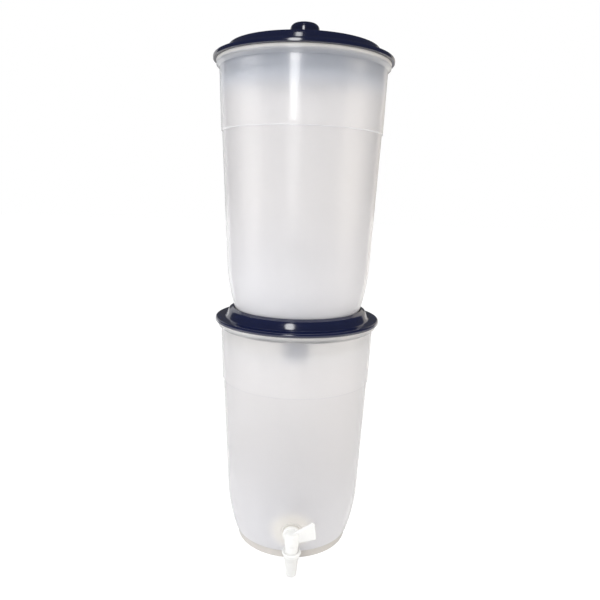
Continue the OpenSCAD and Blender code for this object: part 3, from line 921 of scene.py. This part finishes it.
def skirt_radius(v, c):
    deepest = max(c.collar_skirt, c.lid_skirt)
    return v.mouth_radius - v.band_flare * deepest / v.step_drop - c.skirt_gap


def cover_top():
    """Upper side of the lip and shoulder, from the lip inwards."""
    v = bpy.context.scene.filter_vessel
    c = bpy.context.scene.filter_cover
    lip = v.rim_radius + c.lip_overhang
    corners = [(lip, 0, SMALL)]
    corners += arc(lip - c.lip_round, c.lip - c.lip_round, c.lip_round, 0, 90, ARC_STEPS)
    return corners + [(*shoulder(i / CURVE_STEPS), 0) for i in range(CURVE_STEPS + 1)]


def cover_under(depth):
    """Underside of the shoulder, from its top out to the skirt, and the skirt down to a depth."""
    v = bpy.context.scene.filter_vessel
    c = bpy.context.scene.filter_cover
    points = [shoulder(i / CURVE_STEPS) for i in reversed(range(CURVE_STEPS + 1))]
    corners = [(r - SHELL_SHIFT * c.shell, z - c.shell, 0) for r, z in points]
    skirt = skirt_radius(v, c)
    return corners + [(skirt - c.skirt, -depth, MODEST), (skirt, -depth, 0.9 * MM), (skirt, 0, 0)]


def lifted(corners, height):
    return [(r, z + height, fillet) for r, z, fillet in corners]


class FILTER_OT_collar(bpy.types.Operator):
    """Moulds the navy collar between the tubs"""
    bl_idname = "filter.collar"
    bl_label = "Collar"

    def execute(self, context):
        v = context.scene.filter_vessel
        c = context.scene.filter_cover
        nest = v.outer_radius(c.collar_height + c.nest_drop) + c.nest_gap
        pocket = v.outer_radius(v.foot_height) + c.nest_gap
        ledge = v.foot_top_radius - v.foot_taper + c.nest_gap - c.ledge_width
        ledge_low = -c.nest_drop - c.ledge
        corners = cover_top()
        corners += [(nest + EDGE, c.collar_height, SMALL), (nest, c.collar_height - EDGE, SMALL),
                    (pocket, v.foot_height - c.nest_drop, 4 * MM), (pocket, -c.nest_drop, 1 * MM),
                    (ledge, -c.nest_drop, 0.7 * MM), (ledge, ledge_low, 0.7 * MM),
                    (pocket + c.shell, ledge_low, 2 * MM),
                    (nest + 0.6 * c.shell, c.shoulder_height - 1.5 * c.shell, SMALL)]
        collar = turned("Collar", lifted(corners + cover_under(c.collar_skirt), LOWER_RIM))
        navy = navy_material("Navy collar", context.scene.filter_finish.navy)
        dress(collar, navy, "navy_gloss", "collar", "stacking_collar")
        return {"FINISHED"}


class FILTER_OT_lid(bpy.types.Operator):
    """Moulds the lid and its knob, and makes the screw that holds them"""
    bl_idname = "filter.lid"
    bl_label = "Lid"

    def execute(self, context):
        c = context.scene.filter_cover
        navy = context.scene.filter_finish.navy
        top_radius = shoulder(1)[0]
        pad = c.knob_radius + 2 * MM
        hole = c.screw_radius + SCREW_GAP
        radii = [top_radius + (pad - top_radius) * i / CURVE_STEPS for i in range(1, CURVE_STEPS + 1)]
        dome = [(r, c.crown_height - (c.crown_height - c.shoulder_height)
                 * ((r - pad) / (top_radius - pad)) ** 2) for r in radii]
        corners = cover_top() + [(r, z, 0) for r, z in dome]
        corners += [(hole, c.crown_height, HAIR), (hole, c.crown_height - c.shell, HAIR)]
        corners += [(r, z - c.shell, 0) for r, z in reversed(dome)]
        lid = turned("Lid", lifted(corners + cover_under(c.lid_skirt), UPPER_RIM))
        # The lid gets the navy made darker: painted shade.
        dress(lid, navy_material("Navy lid", navy, LID_PAINTED_SHADE), "navy_gloss", "lid", "lid_shell")

        bore = c.screw_radius + 0.05 * MM
        end = c.screw_depth + 0.8 * MM
        corners = [(bore, 0, 0.1 * MM), (c.knob_radius, 0, EDGE)]
        corners += arc(c.knob_radius - c.knob_round, c.knob_height - c.knob_round, c.knob_round, 0, 90)
        corners += [(0, c.knob_height, 0), (0, end, 0), (bore, end, 0)]
        knob = turned("Knob", lifted(corners, CROWN), AROUND_SMALL)
        dress(knob, navy_material("Navy knob", navy, KNOB_SHADE), "navy_dark", "lid", "lid_knob")

        steel = steel_material()
        low, high = (corner.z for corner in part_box("knob_washer"))
        corners = ring_corners(3 * c.screw_radius, hole, low, high, HAIR)
        washer = turned("Knob_washer", corners, AROUND_SMALL)
        dress(washer, steel, "steel", "lid", "knob_washer")
        head_low, tip = (corner.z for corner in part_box("knob_screw"))
        head = 2 * c.screw_radius
        screw = turned("Knob_screw", [
            (0, head_low, 0), (head - 0.8 * MM, head_low, SLIGHT), (head, low, HAIR),
            (c.screw_radius, low, 0), (c.screw_radius, tip, SMALL), (0, tip, 0)], AROUND_SMALL)
        blades = []
        for turn in (0, math.pi / 2):
            blade = slab("Blade", [(-head / 2, -MM), (head / 2, -MM), (head / 2, MM), (-head / 2, MM)],
                         0.8 * MM, 0.05 * MM)
            blade.data.transform(Matrix.Translation((0, 0, head_low)) @ Matrix.Rotation(turn, 4, "Z"))
            blades.append(blade)
        carved(screw, cut=blades)
        dress(screw, steel, "steel", "lid", "knob_screw")
        return {"FINISHED"}


class FILTER_OT_tap(bpy.types.Operator):
    """Moulds the tap with its lever, spout, nut, washers and seals"""
    bl_idname = "filter.tap"
    bl_label = "Tap"

    def execute(self, context):
        t = context.scene.filter_tap
        finish = context.scene.filter_finish
        white = white_material("White tap plastic", finish.white, TAP_GLOSS)
        clear = rubber_material("Clear silicone", finish.silicone, 0.3)
        dark = rubber_material("Black tap seals", finish.rubber, 0.0)
        back, face = boss_span()
        stem = on_stem(t.height)
        hole = t.stem_radius + STEM_GAP
        for name, low in (("outer", face), ("inner", back - t.washer)):
            washer = turned(f"Tap_{name}_washer", ring_corners(
                t.flange_radius - EDGE, hole, low, low + t.washer, SLIGHT), AROUND_SMALL, stem)
            dress(washer, clear, "silicone", "lower_vessel", f"tap_{name}_washer")
        nut_back = back - t.washer - t.nut
        dress(lock_nut(t, nut_back, stem), white, "tap_white", "lower_vessel", "tap_lock_nut")
        stem_end = nut_back - 1.5 * t.pitch
        body = tap_body(t, stem_end, face + t.washer, stem, white)
        dress(body, white, "tap_white", "lower_vessel", "tap_body")
        # The spout's white is greyed below the dish: painted shade.
        spout_white_shaded = white_material("White spout plastic", finish.white, TAP_GLOSS, t.spout_top - t.dish_height)
        dress(tap_spout(t), spout_white_shaded, "tap_white", "lower_vessel", "tap_spout")
        dress(tap_plug(t), white, "tap_white", "tap_lever", "tap_plug")
        middle = t.bore - 0.6 * MM
        corners = [cord_corners(middle, t.height + side * SEAL_OFFSET, SEAL_RADIUS) for side in (-1, 1)]
        low, high = (turned("Plug_o_rings", c, AROUND_SMALL, on_plug()) for c in corners)
        dress(carved(low, [high]), dark, "dark_rubber", "tap_lever", "plug_o_rings")
        return {"FINISHED"}


def on_plug():
    """Place of the tap's upright axis."""
    return Matrix.Translation((0, -TAP_REACH, 0))


def lock_nut(t, low, place):
    """A six-sided nut with a round flange against the washer."""
    radius = t.nut_width / 2
    high = low + t.nut
    flange = high - 2 * MM
    nut = turned("Tap_lock_nut", [
        (0, low, 0), (radius - 1.5 * MM, low, 0), (radius, low + 1.2 * MM, 0),
        (radius, flange + MM, 0), (0, flange + MM, 0)], 6, place)
    disc = turned("Disc", [(0, flange, 0), (radius, flange, SMALL), (radius, high, SMALL),
                           (0, high, 0)], AROUND_SMALL, place)
    return carved(nut, [disc], [rod(t.stem_radius + THREAD_GAP, low - MM, high + MM, place)])


def tap_body(t, stem_end, flange_back, place, material):
    """Threaded stem, wall flange, barrel and the plug's housing in one moulding."""
    flange_front = flange_back + t.flange
    root = t.stem_radius - t.thread
    barrel_end = TAP_REACH - t.bore - MM
    wide = 2 * t.waterway
    body = turned("Tap_body", [
        (wide, stem_end, FINE), (root, stem_end, SMALL), (root, flange_back, 0),
        (t.flange_radius, flange_back, SMALL), (t.flange_radius, flange_front, WIDE),
        (t.barrel_radius, flange_front, FULL), (t.barrel_radius, barrel_end, 0),
        (t.waterway, barrel_end, 0), (t.waterway, flange_back - MM, 0), (wide, flange_back - MM, 0)],
        AROUND_SMALL, place)
    housing = turned("Housing", [
        (t.bore, t.housing_bottom, FINE), (t.housing_radius, t.housing_bottom, FINE),
        (t.housing_radius, t.housing_top, HUB_EDGE), (t.bore, t.housing_top, FINE)],
        AROUND_SMALL, on_plug())
    carved(body, [housing], [rod(t.waterway, barrel_end - MM, TAP_REACH, place)])
    body.data.transform(place.inverted())
    threaded(body, root, stem_end, flange_back, material)
    body.data.transform(place)
    return body


def ribs(start, end):
    """Corners of fine rings that stand out along the straight between two corners."""
    corners = [start]
    for i in range(RIBS):
        for t, height in ((i + 0.25, 0), (i + 0.5, RIB_HEIGHT), (i + 0.75, 0)):
            r, z = (low + (high - low) * t / RIBS for low, high in zip(start[:2], end[:2]))
            corners.append((r + height, z, HAIR))
    return corners + [end]


def tap_spout(t):
    """The ribbed nozzle with the dish under the housing."""
    bottom = t.housing_bottom
    tip = t.spout_top - t.spout_height
    neck = t.housing_radius + EDGE
    neck_low = bottom - CHAMBER_HEIGHT
    ribs_low = neck_low - 2 * CHAMBER_HEIGHT
    socket = t.housing_radius + SEAL_GAP
    drip = t.waterway + EDGE
    chamber = t.plug_radius + SNAP_LIP + 0.6 * MM
    lip = t.dish_radius - 2 * EDGE
    return turned("Tap_spout", [
        (drip, tip, SLIGHT), (t.tip_radius, tip, MODEST), (t.tip_radius + EDGE / 2, tip + EDGE, MODEST),
        *ribs((neck - 1.2 * EDGE, ribs_low, 3 * MM), (neck - 0.8 * EDGE, neck_low - EDGE, 0.1 * MM)),
        (neck + EDGE / 4, neck_low, FINE),
        (lip, t.spout_top - t.dish_height, EDGE),
        (t.dish_radius - EDGE / 2, t.spout_top - t.dish_height / 2, FULL),
        (t.dish_radius, t.spout_top - EDGE, SLIGHT), (t.dish_radius - EDGE, t.spout_top, SLIGHT),
        (lip, t.spout_top, FINE), (lip, t.dish_floor, SLIGHT), (socket, t.dish_floor, FINE),
        (socket, bottom, 0), (chamber, bottom, 0), (chamber, neck_low, SMALL),
        (drip, neck_low, FINE)], AROUND_SMALL, on_plug())


def tap_plug(t):
    """The turning plug with its seal grooves and port, the hub and the flag-shaped lever."""
    bottom = t.housing_bottom - SNAP_PLAY - SNAP_HEIGHT
    top = t.housing_top
    plug = t.plug_radius
    groove = t.bore - 2 * SEAL_RADIUS - 0.1 * MM
    half = SEAL_RADIUS + SEAL_GAP
    roof = t.height + t.waterway
    corners = [(t.waterway, bottom, HAIR), (plug, bottom, HAIR),
               (plug + SNAP_LIP, bottom + SNAP_HEIGHT, 0), (plug, bottom + SNAP_HEIGHT, 0)]
    for side in (-1, 1):
        z = t.height + side * SEAL_OFFSET
        corners += [(plug, z - half, 0), (groove, z - half, 0),
                    (groove, z + half, 0), (plug, z + half, 0)]
    hub = t.housing_radius + EDGE
    seat = top + HUB_GAP
    crown = top + t.hub_height
    corners += [(plug, seat, 0), (hub, seat, EDGE / 2), (hub, crown, HUB_CROWN), (0, crown, 0),
                (0, roof, 0), (t.waterway, roof, SMALL)]
    piece = turned("Tap_plug", corners, AROUND_SMALL, on_plug())
    mid = top + t.hub_height / 2
    end = mid + t.lever_end
    outline = rounded([
        (0, top + 0.4 * MM, 0), (t.lever_reach, mid, 2 * MM), (t.lever_reach - LEVER_SLOPE, end, 2 * MM),
        (0, top + t.hub_height - EDGE, 0)])
    lever = slab("Lever", outline, t.lever, 0.9 * MM)
    lever.data.transform(on_plug())
    port = rod(t.waterway, 0, 2 * plug,
               on_plug() @ Matrix.Translation((0, 0, t.height)) @ Matrix.Rotation(-math.pi / 2, 4, "Y"))
    return carved(piece, [lever], [port])


class FILTER_OT_outlet(bpy.types.Operator):
    """Moulds the outlet fitting in the upper floor"""
    bl_idname = "filter.outlet"
    bl_label = "Outlet fitting"

    def execute(self, context):
        v = context.scene.filter_vessel
        t = context.scene.filter_tap
        i = context.scene.filter_inside
        finish = context.scene.filter_finish
        navy = navy_material("Blue outlet", finish.outlet)
        dark = rubber_material("Black washers", finish.rubber, 0.0)
        floor_top = UPPER_FOOT + v.foot_height
        floor_under = floor_top - v.floor
        seat = floor_top + t.washer
        nut_top = floor_under - t.washer
        for name, low in (("inner", floor_top), ("outer", nut_top)):
            corners = ring_corners(i.hub_radius + EDGE, i.adaptor_radius + STEM_GAP,
                                   low, low + t.washer, SLIGHT)
            washer = turned(f"Adaptor_{name}_washer", corners, AROUND_SMALL)
            dress(washer, dark, "dark_rubber", "upper_vessel", f"adaptor_{name}_washer")

        top = seat + i.hub_height
        low = nut_top - i.thread_height
        root = i.adaptor_radius - t.thread
        socket = i.spigot_radius + SPIGOT_GAP
        socket_floor = top - i.spigot_height - EDGE
        adaptor = turned("Outlet_adaptor", [
            (DRIP_RADIUS, low, SLIGHT), (root, low, MODEST), (root, seat, 0), (i.hub_radius, seat, SMALL),
            (i.hub_radius, top, EDGE), (socket, top, SMALL), (socket, socket_floor, FINE),
            (DRIP_RADIUS, socket_floor, FINE)], AROUND_SMALL)
        threaded(adaptor, root, low, seat, navy)
        dress(adaptor, navy, "navy_gloss", "upper_vessel", "outlet_adaptor")

        bottom = nut_top - i.nut_height
        bore = i.adaptor_radius + THREAD_GAP
        end = bottom + 4 * MM
        nut = turned("Outlet_nut", [
            (DRIP_RADIUS, bottom, SLIGHT), (i.nut_radius, bottom, 1.6 * MM),
            (i.nut_radius, bottom + 8 * MM, 0), (i.nut_radius, bottom + 9 * MM, 0),
            (i.nut_radius, nut_top, 0), (bore, nut_top, SLIGHT),
            (bore, end, SLIGHT), (DRIP_RADIUS, end, SLIGHT)], i.flutes * FLUTE_STEPS)
        shaped(nut, flute_tree(), {"Count": i.flutes, "Depth": EDGE, "Radius": i.nut_radius - 0.1 * MM,
                                   "Bottom": bottom + 8.5 * MM, "Material": navy})
        dress(nut, navy, "navy_gloss", "upper_vessel", "outlet_nut")
        return {"FINISHED"}


class FILTER_OT_cartridge(bpy.types.Operator):
    """Moulds the cartridge and fills it with felt and carbon"""
    bl_idname = "filter.cartridge"
    bl_label = "Cartridge"

    def execute(self, context):
        i = context.scene.filter_inside
        finish = context.scene.filter_finish
        white = white_material("White cartridge plastic", finish.white, CARTRIDGE_GLOSS)
        dark = rubber_material("Black spigot seal", finish.rubber, 0.0)
        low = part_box("cartridge_body")[0].z
        seat = low + i.spigot_height
        rim = seat + i.cup_height
        wall = i.cup_radius - i.cup_wall
        fill = wall - FILL_GAP
        seal = SPIGOT_SEAL
        seal_middle = i.spigot_radius + 0.3 * MM - seal
        seal_z = seat - i.spigot_height / 2
        groove = seal_middle - seal - SEAL_GAP
        half = seal + SEAL_GAP
        floor = seat + CUP_FLOOR
        body = turned("Cartridge_body", [
            (SPIGOT_BORE, low, FINE), (i.spigot_radius, low, EDGE), (i.spigot_radius, seal_z - half, 0),
            (groove, seal_z - half, 0), (groove, seal_z + half, 0), (i.spigot_radius, seal_z + half, 0),
            (i.spigot_radius, seat, SMALL), (i.cup_radius, seat, FULL), (i.cup_radius, rim, FINE),
            (wall, rim, FINE), (wall, floor, SMALL), (SPIGOT_BORE, floor, FINE)], AROUND_SMALL)
        dress(body, white, "cartridge_white", "cartridge", "cartridge_body")
        ring = turned("Cartridge_o_ring", cord_corners(seal_middle, seal_z, seal), AROUND_SMALL)
        dress(ring, dark, "dark_rubber", "cartridge", "cartridge_o_ring")

        plug, top = (corner.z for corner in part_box("cartridge_cap"))
        cap = turned("Cartridge_cap", [
            (0, plug, 0), (fill, plug, SLIGHT), (fill, rim, 0), (i.cup_radius, rim, FINE),
            (i.cup_radius - EDGE, top, EDGE), (0, top, 0)], AROUND_SMALL)
        shaped(cap, slot_tree(), {"Count": i.slots, "Width": i.slot_width, "Length": i.cup_radius / 2,
                                  "Radius": i.cup_radius / 2, "Height": (plug + top) / 2,
                                  "Material": white})
        dress(cap, white, "cartridge_white", "cartridge", "cartridge_cap")

        felt = felt_material()
        for name in ("lower_felt_pad", "upper_felt_pad"):
            bottom, roof = (corner.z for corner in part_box(name))
            pad = turned(name.capitalize(), felt_corners(fill, bottom, roof), AROUND_SMALL)
            dress(pad, felt, "felt", "cartridge", name)
        bottom, roof = (corner.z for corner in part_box("carbon_bed"))
        inset = 0.45 * i.granule
        corners = ring_corners(fill - inset, 0, bottom + inset, roof - inset, 0)
        bed = turned("Carbon_bed", corners, AROUND_SMALL)
        carbon = carbon_material()
        shaped(bed, granule_tree(), {"Spacing": 0.7 * i.granule, "Size": i.granule, "Seed": 5,
                                     "Material": carbon})
        dress(bed, carbon, "carbon", "cartridge", "carbon_bed")
        return {"FINISHED"}


def felt_corners(radius, low, high):
    """Outline of a felt pad: flat where it lies, slightly uneven on its faces, soft on its edge."""
    waves = [0.12 * MM * math.sin(2.4 * k) for k in range(FELT_RINGS)]
    faces = [radius * k / FELT_RINGS for k in range(FELT_RINGS)]
    under = [(r, low + 0.15 * MM + wave, 0) for r, wave in zip(faces, waves)]
    over = [(r, high - 0.15 * MM - wave, 0) for r, wave in zip(faces, waves)]
    return under + [(radius, low, WIDE), (radius, high, WIDE)] + over[::-1]


class FILTER_OT_stage(bpy.types.Operator):
    """Sets up the floor, the lamps, the world and the camera"""
    bl_idname = "filter.stage"
    bl_label = "Stage"

    def execute(self, context):
        scene = context.scene
        scene.view_settings.view_transform = "Standard"
        floor()
        studio_world(scene)
        for lamp in LAMPS:
            add_lamp(*lamp)
        add_camera(scene)
        return {"FINISHED"}


WHITE_LIGHT = (1.0, 1.0, 1.0)
WARM_LIGHT = (1.0, 0.93, 0.84)
# Name, azimuth and distance from the axis, height, height aimed at, width, length, power, colour
# and whether the lamp shows in reflections
LAMPS = (
    ("Key lamp", -12.0, 1.4, 0.95, 0.45, 0.36, 0.8, 5.1, WHITE_LIGHT, True),
    ("Wall strip", -12.0, 1.4, 0.5, 0.4, 0.45, 0.6, 0.8, WHITE_LIGHT, True),
    ("Glint lamp", -12.0, 0.9, 1.85, 0.6, 0.2, 0.15, 0.5, WHITE_LIGHT, True),
    ("Front softbox", -12.0, 0.9, 1.7, 0.3, 0.8, 0.8, 8.5, WHITE_LIGHT, False),
    ("Left softbox", -75.0, 1.6, 0.5, 0.25, 1.0, 1.2, 9.3, WHITE_LIGHT, False),
    ("Right softbox", 75.0, 1.6, 0.5, 0.25, 1.0, 1.2, 9.0, WARM_LIGHT, False),
    ("Left rim panel", -145.0, 1.2, 0.5, 0.4, 0.6, 1.2, 1.2, WHITE_LIGHT, True),
    ("Right rim panel", 145.0, 1.2, 0.5, 0.4, 0.6, 1.2, 1.2, WARM_LIGHT, True),
    ("Top softbox", 0.0, 0.2, 1.9, 0.3, 1.4, 1.4, 4.5, WHITE_LIGHT, False),
)
WORLD_LEVEL = 0.55
REFLECTED_LEVEL = 0.1
FLOOR_COLOUR = (0.9, 0.9, 0.9, 1.0)
FLOOR_GLOW = 0.8
FLOOR_WHITE = 1.14
FLOOR_REACH = 8.0


def seen_directly(n):
    """1 for rays that show the background, from the camera or through clear walls."""
    path = n.add("ShaderNodeLightPath", output="Is Camera Ray")
    return path.math("MAXIMUM", path, path.other("Is Transmission Ray"))


def floor():
    shape = bmesh.new()
    bmesh.ops.create_grid(shape, x_segments=1, y_segments=1, size=FLOOR_REACH)
    mesh = bpy.data.meshes.new("Floor")
    shape.to_mesh(mesh)
    shape.free()
    ground = new_piece("Floor", mesh)
    made, n = new_material("Pale floor")
    matt = n.add("ShaderNodeBsdfDiffuse", inputs={"Color": FLOOR_COLOUR})
    glow = n.add("ShaderNodeEmission", inputs={"Color": (1.0, 1.0, 1.0, 1.0), "Strength": FLOOR_WHITE})
    mixed = n.add("ShaderNodeMixShader", inputs={0: FLOOR_GLOW * seen_directly(n), 1: matt, 2: glow})
    n.add("ShaderNodeOutputMaterial", inputs={"Surface": mixed})
    mesh.materials.append(made)


def studio_world(scene):
    world = bpy.data.worlds.new("Studio")
    world.use_nodes = True
    n = Nodes(world.node_tree)
    seen = seen_directly(n)
    mirrored = n.add("ShaderNodeLightPath", output="Is Glossy Ray")
    around = WORLD_LEVEL - (WORLD_LEVEL - REFLECTED_LEVEL) * mirrored
    level = seen + around * (1.0 - seen)
    light = n.add("ShaderNodeBackground", inputs={"Color": (1.0, 1.0, 1.0, 1.0), "Strength": level})
    n.add("ShaderNodeOutputWorld", inputs={"Surface": light})
    scene.world = world


def add_lamp(name, azimuth, distance, height, aim, width, tall, power, tint, reflected):
    data = bpy.data.lights.new(name, "AREA")
    data.shape = "ELLIPSE"
    data.color = tint
    data.size = width
    data.size_y = tall
    data.energy = power
    lamp = bpy.data.objects.new(name, data)
    lamp.visible_camera = False
    lamp.visible_glossy = reflected
    angle = math.radians(azimuth)
    lamp.location = (distance * math.sin(angle), -distance * math.cos(angle), height)
    to_object = Vector((0, 0, aim)) - lamp.location
    lamp.rotation_euler = to_object.to_track_quat("-Z", "Y").to_euler()
    bpy.context.scene.collection.objects.link(lamp)


CAMERA_DISTANCE = 0.693488
CAMERA_HEIGHT = 0.442957
CAMERA_SIDE = math.radians(-0.65)
CAMERA_PITCH = math.radians(15.167)
CAMERA_YAW = math.radians(0.407)
CAMERA_ROLL = math.radians(1.718)
CAMERA_LENS = 34.152
CAMERA_SHIFT = 0.0784


def add_camera(scene):
    """Puts the camera where the photograph was taken."""
    data = bpy.data.cameras.new("Camera")
    data.sensor_fit = "HORIZONTAL"
    data.sensor_width = 36.0
    data.lens = CAMERA_LENS
    data.shift_y = CAMERA_SHIFT
    camera = bpy.data.objects.new("Camera", data)
    level = math.cos(CAMERA_PITCH)
    ahead = Vector((math.sin(CAMERA_YAW) * level, math.cos(CAMERA_YAW) * level, -math.sin(CAMERA_PITCH)))
    right = Vector((math.cos(CAMERA_YAW), -math.sin(CAMERA_YAW), 0))
    up = right.cross(ahead)
    side = math.cos(CAMERA_ROLL) * right + math.sin(CAMERA_ROLL) * up
    top = math.cos(CAMERA_ROLL) * up - math.sin(CAMERA_ROLL) * right
    turn = Matrix((side, top, -ahead)).transposed().to_4x4()
    place = Matrix.Translation((0, -CAMERA_DISTANCE, CAMERA_HEIGHT)) @ turn
    camera.matrix_world = Matrix.Rotation(CAMERA_SIDE, 4, "Z") @ place
    scene.collection.objects.link(camera)
    scene.camera = camera


class FILTER_PT_panel(bpy.types.Panel):
    """Lists what the filter is made of"""
    bl_idname = "FILTER_PT_panel"
    bl_label = "Spirit Carbon Filter"
    bl_space_type = "VIEW_3D"
    bl_region_type = "UI"
    bl_category = "Filter"

    def draw(self, context):
        for operator in OPERATORS:
            self.layout.operator(operator.bl_idname)
        for key in SETTINGS:
            group = getattr(context.scene, key)
            box = self.layout.box()
            box.label(text=key.replace("_", " ").title())
            for name in group.__annotations__:
                box.prop(group, name)


SETTINGS = {
    "filter_vessel": FILTER_PG_vessel,
    "filter_cover": FILTER_PG_cover,
    "filter_tap": FILTER_PG_tap,
    "filter_inside": FILTER_PG_inside,
    "filter_finish": FILTER_PG_finish,
}
OPERATORS = (FILTER_OT_stage, FILTER_OT_vessels, FILTER_OT_collar, FILTER_OT_lid, FILTER_OT_tap,
             FILTER_OT_outlet, FILTER_OT_cartridge)


def register():
    for cls in (*SETTINGS.values(), *OPERATORS, FILTER_PT_panel):
        bpy.utils.register_class(cls)
    for key, cls in SETTINGS.items():
        setattr(bpy.types.Scene, key, PointerProperty(type=cls))


def unregister():
    for key in SETTINGS:
        delattr(bpy.types.Scene, key)
    for cls in (FILTER_PT_panel, *reversed(OPERATORS), *reversed(SETTINGS.values())):
        bpy.utils.unregister_class(cls)


def main():
    register()
    bpy.ops.filter.stage()
    bpy.ops.filter.vessels()
    bpy.ops.filter.collar()
    bpy.ops.filter.lid()
    bpy.ops.filter.tap()
    bpy.ops.filter.outlet()
    bpy.ops.filter.cartridge()


if __name__ == "__main__":
    main()
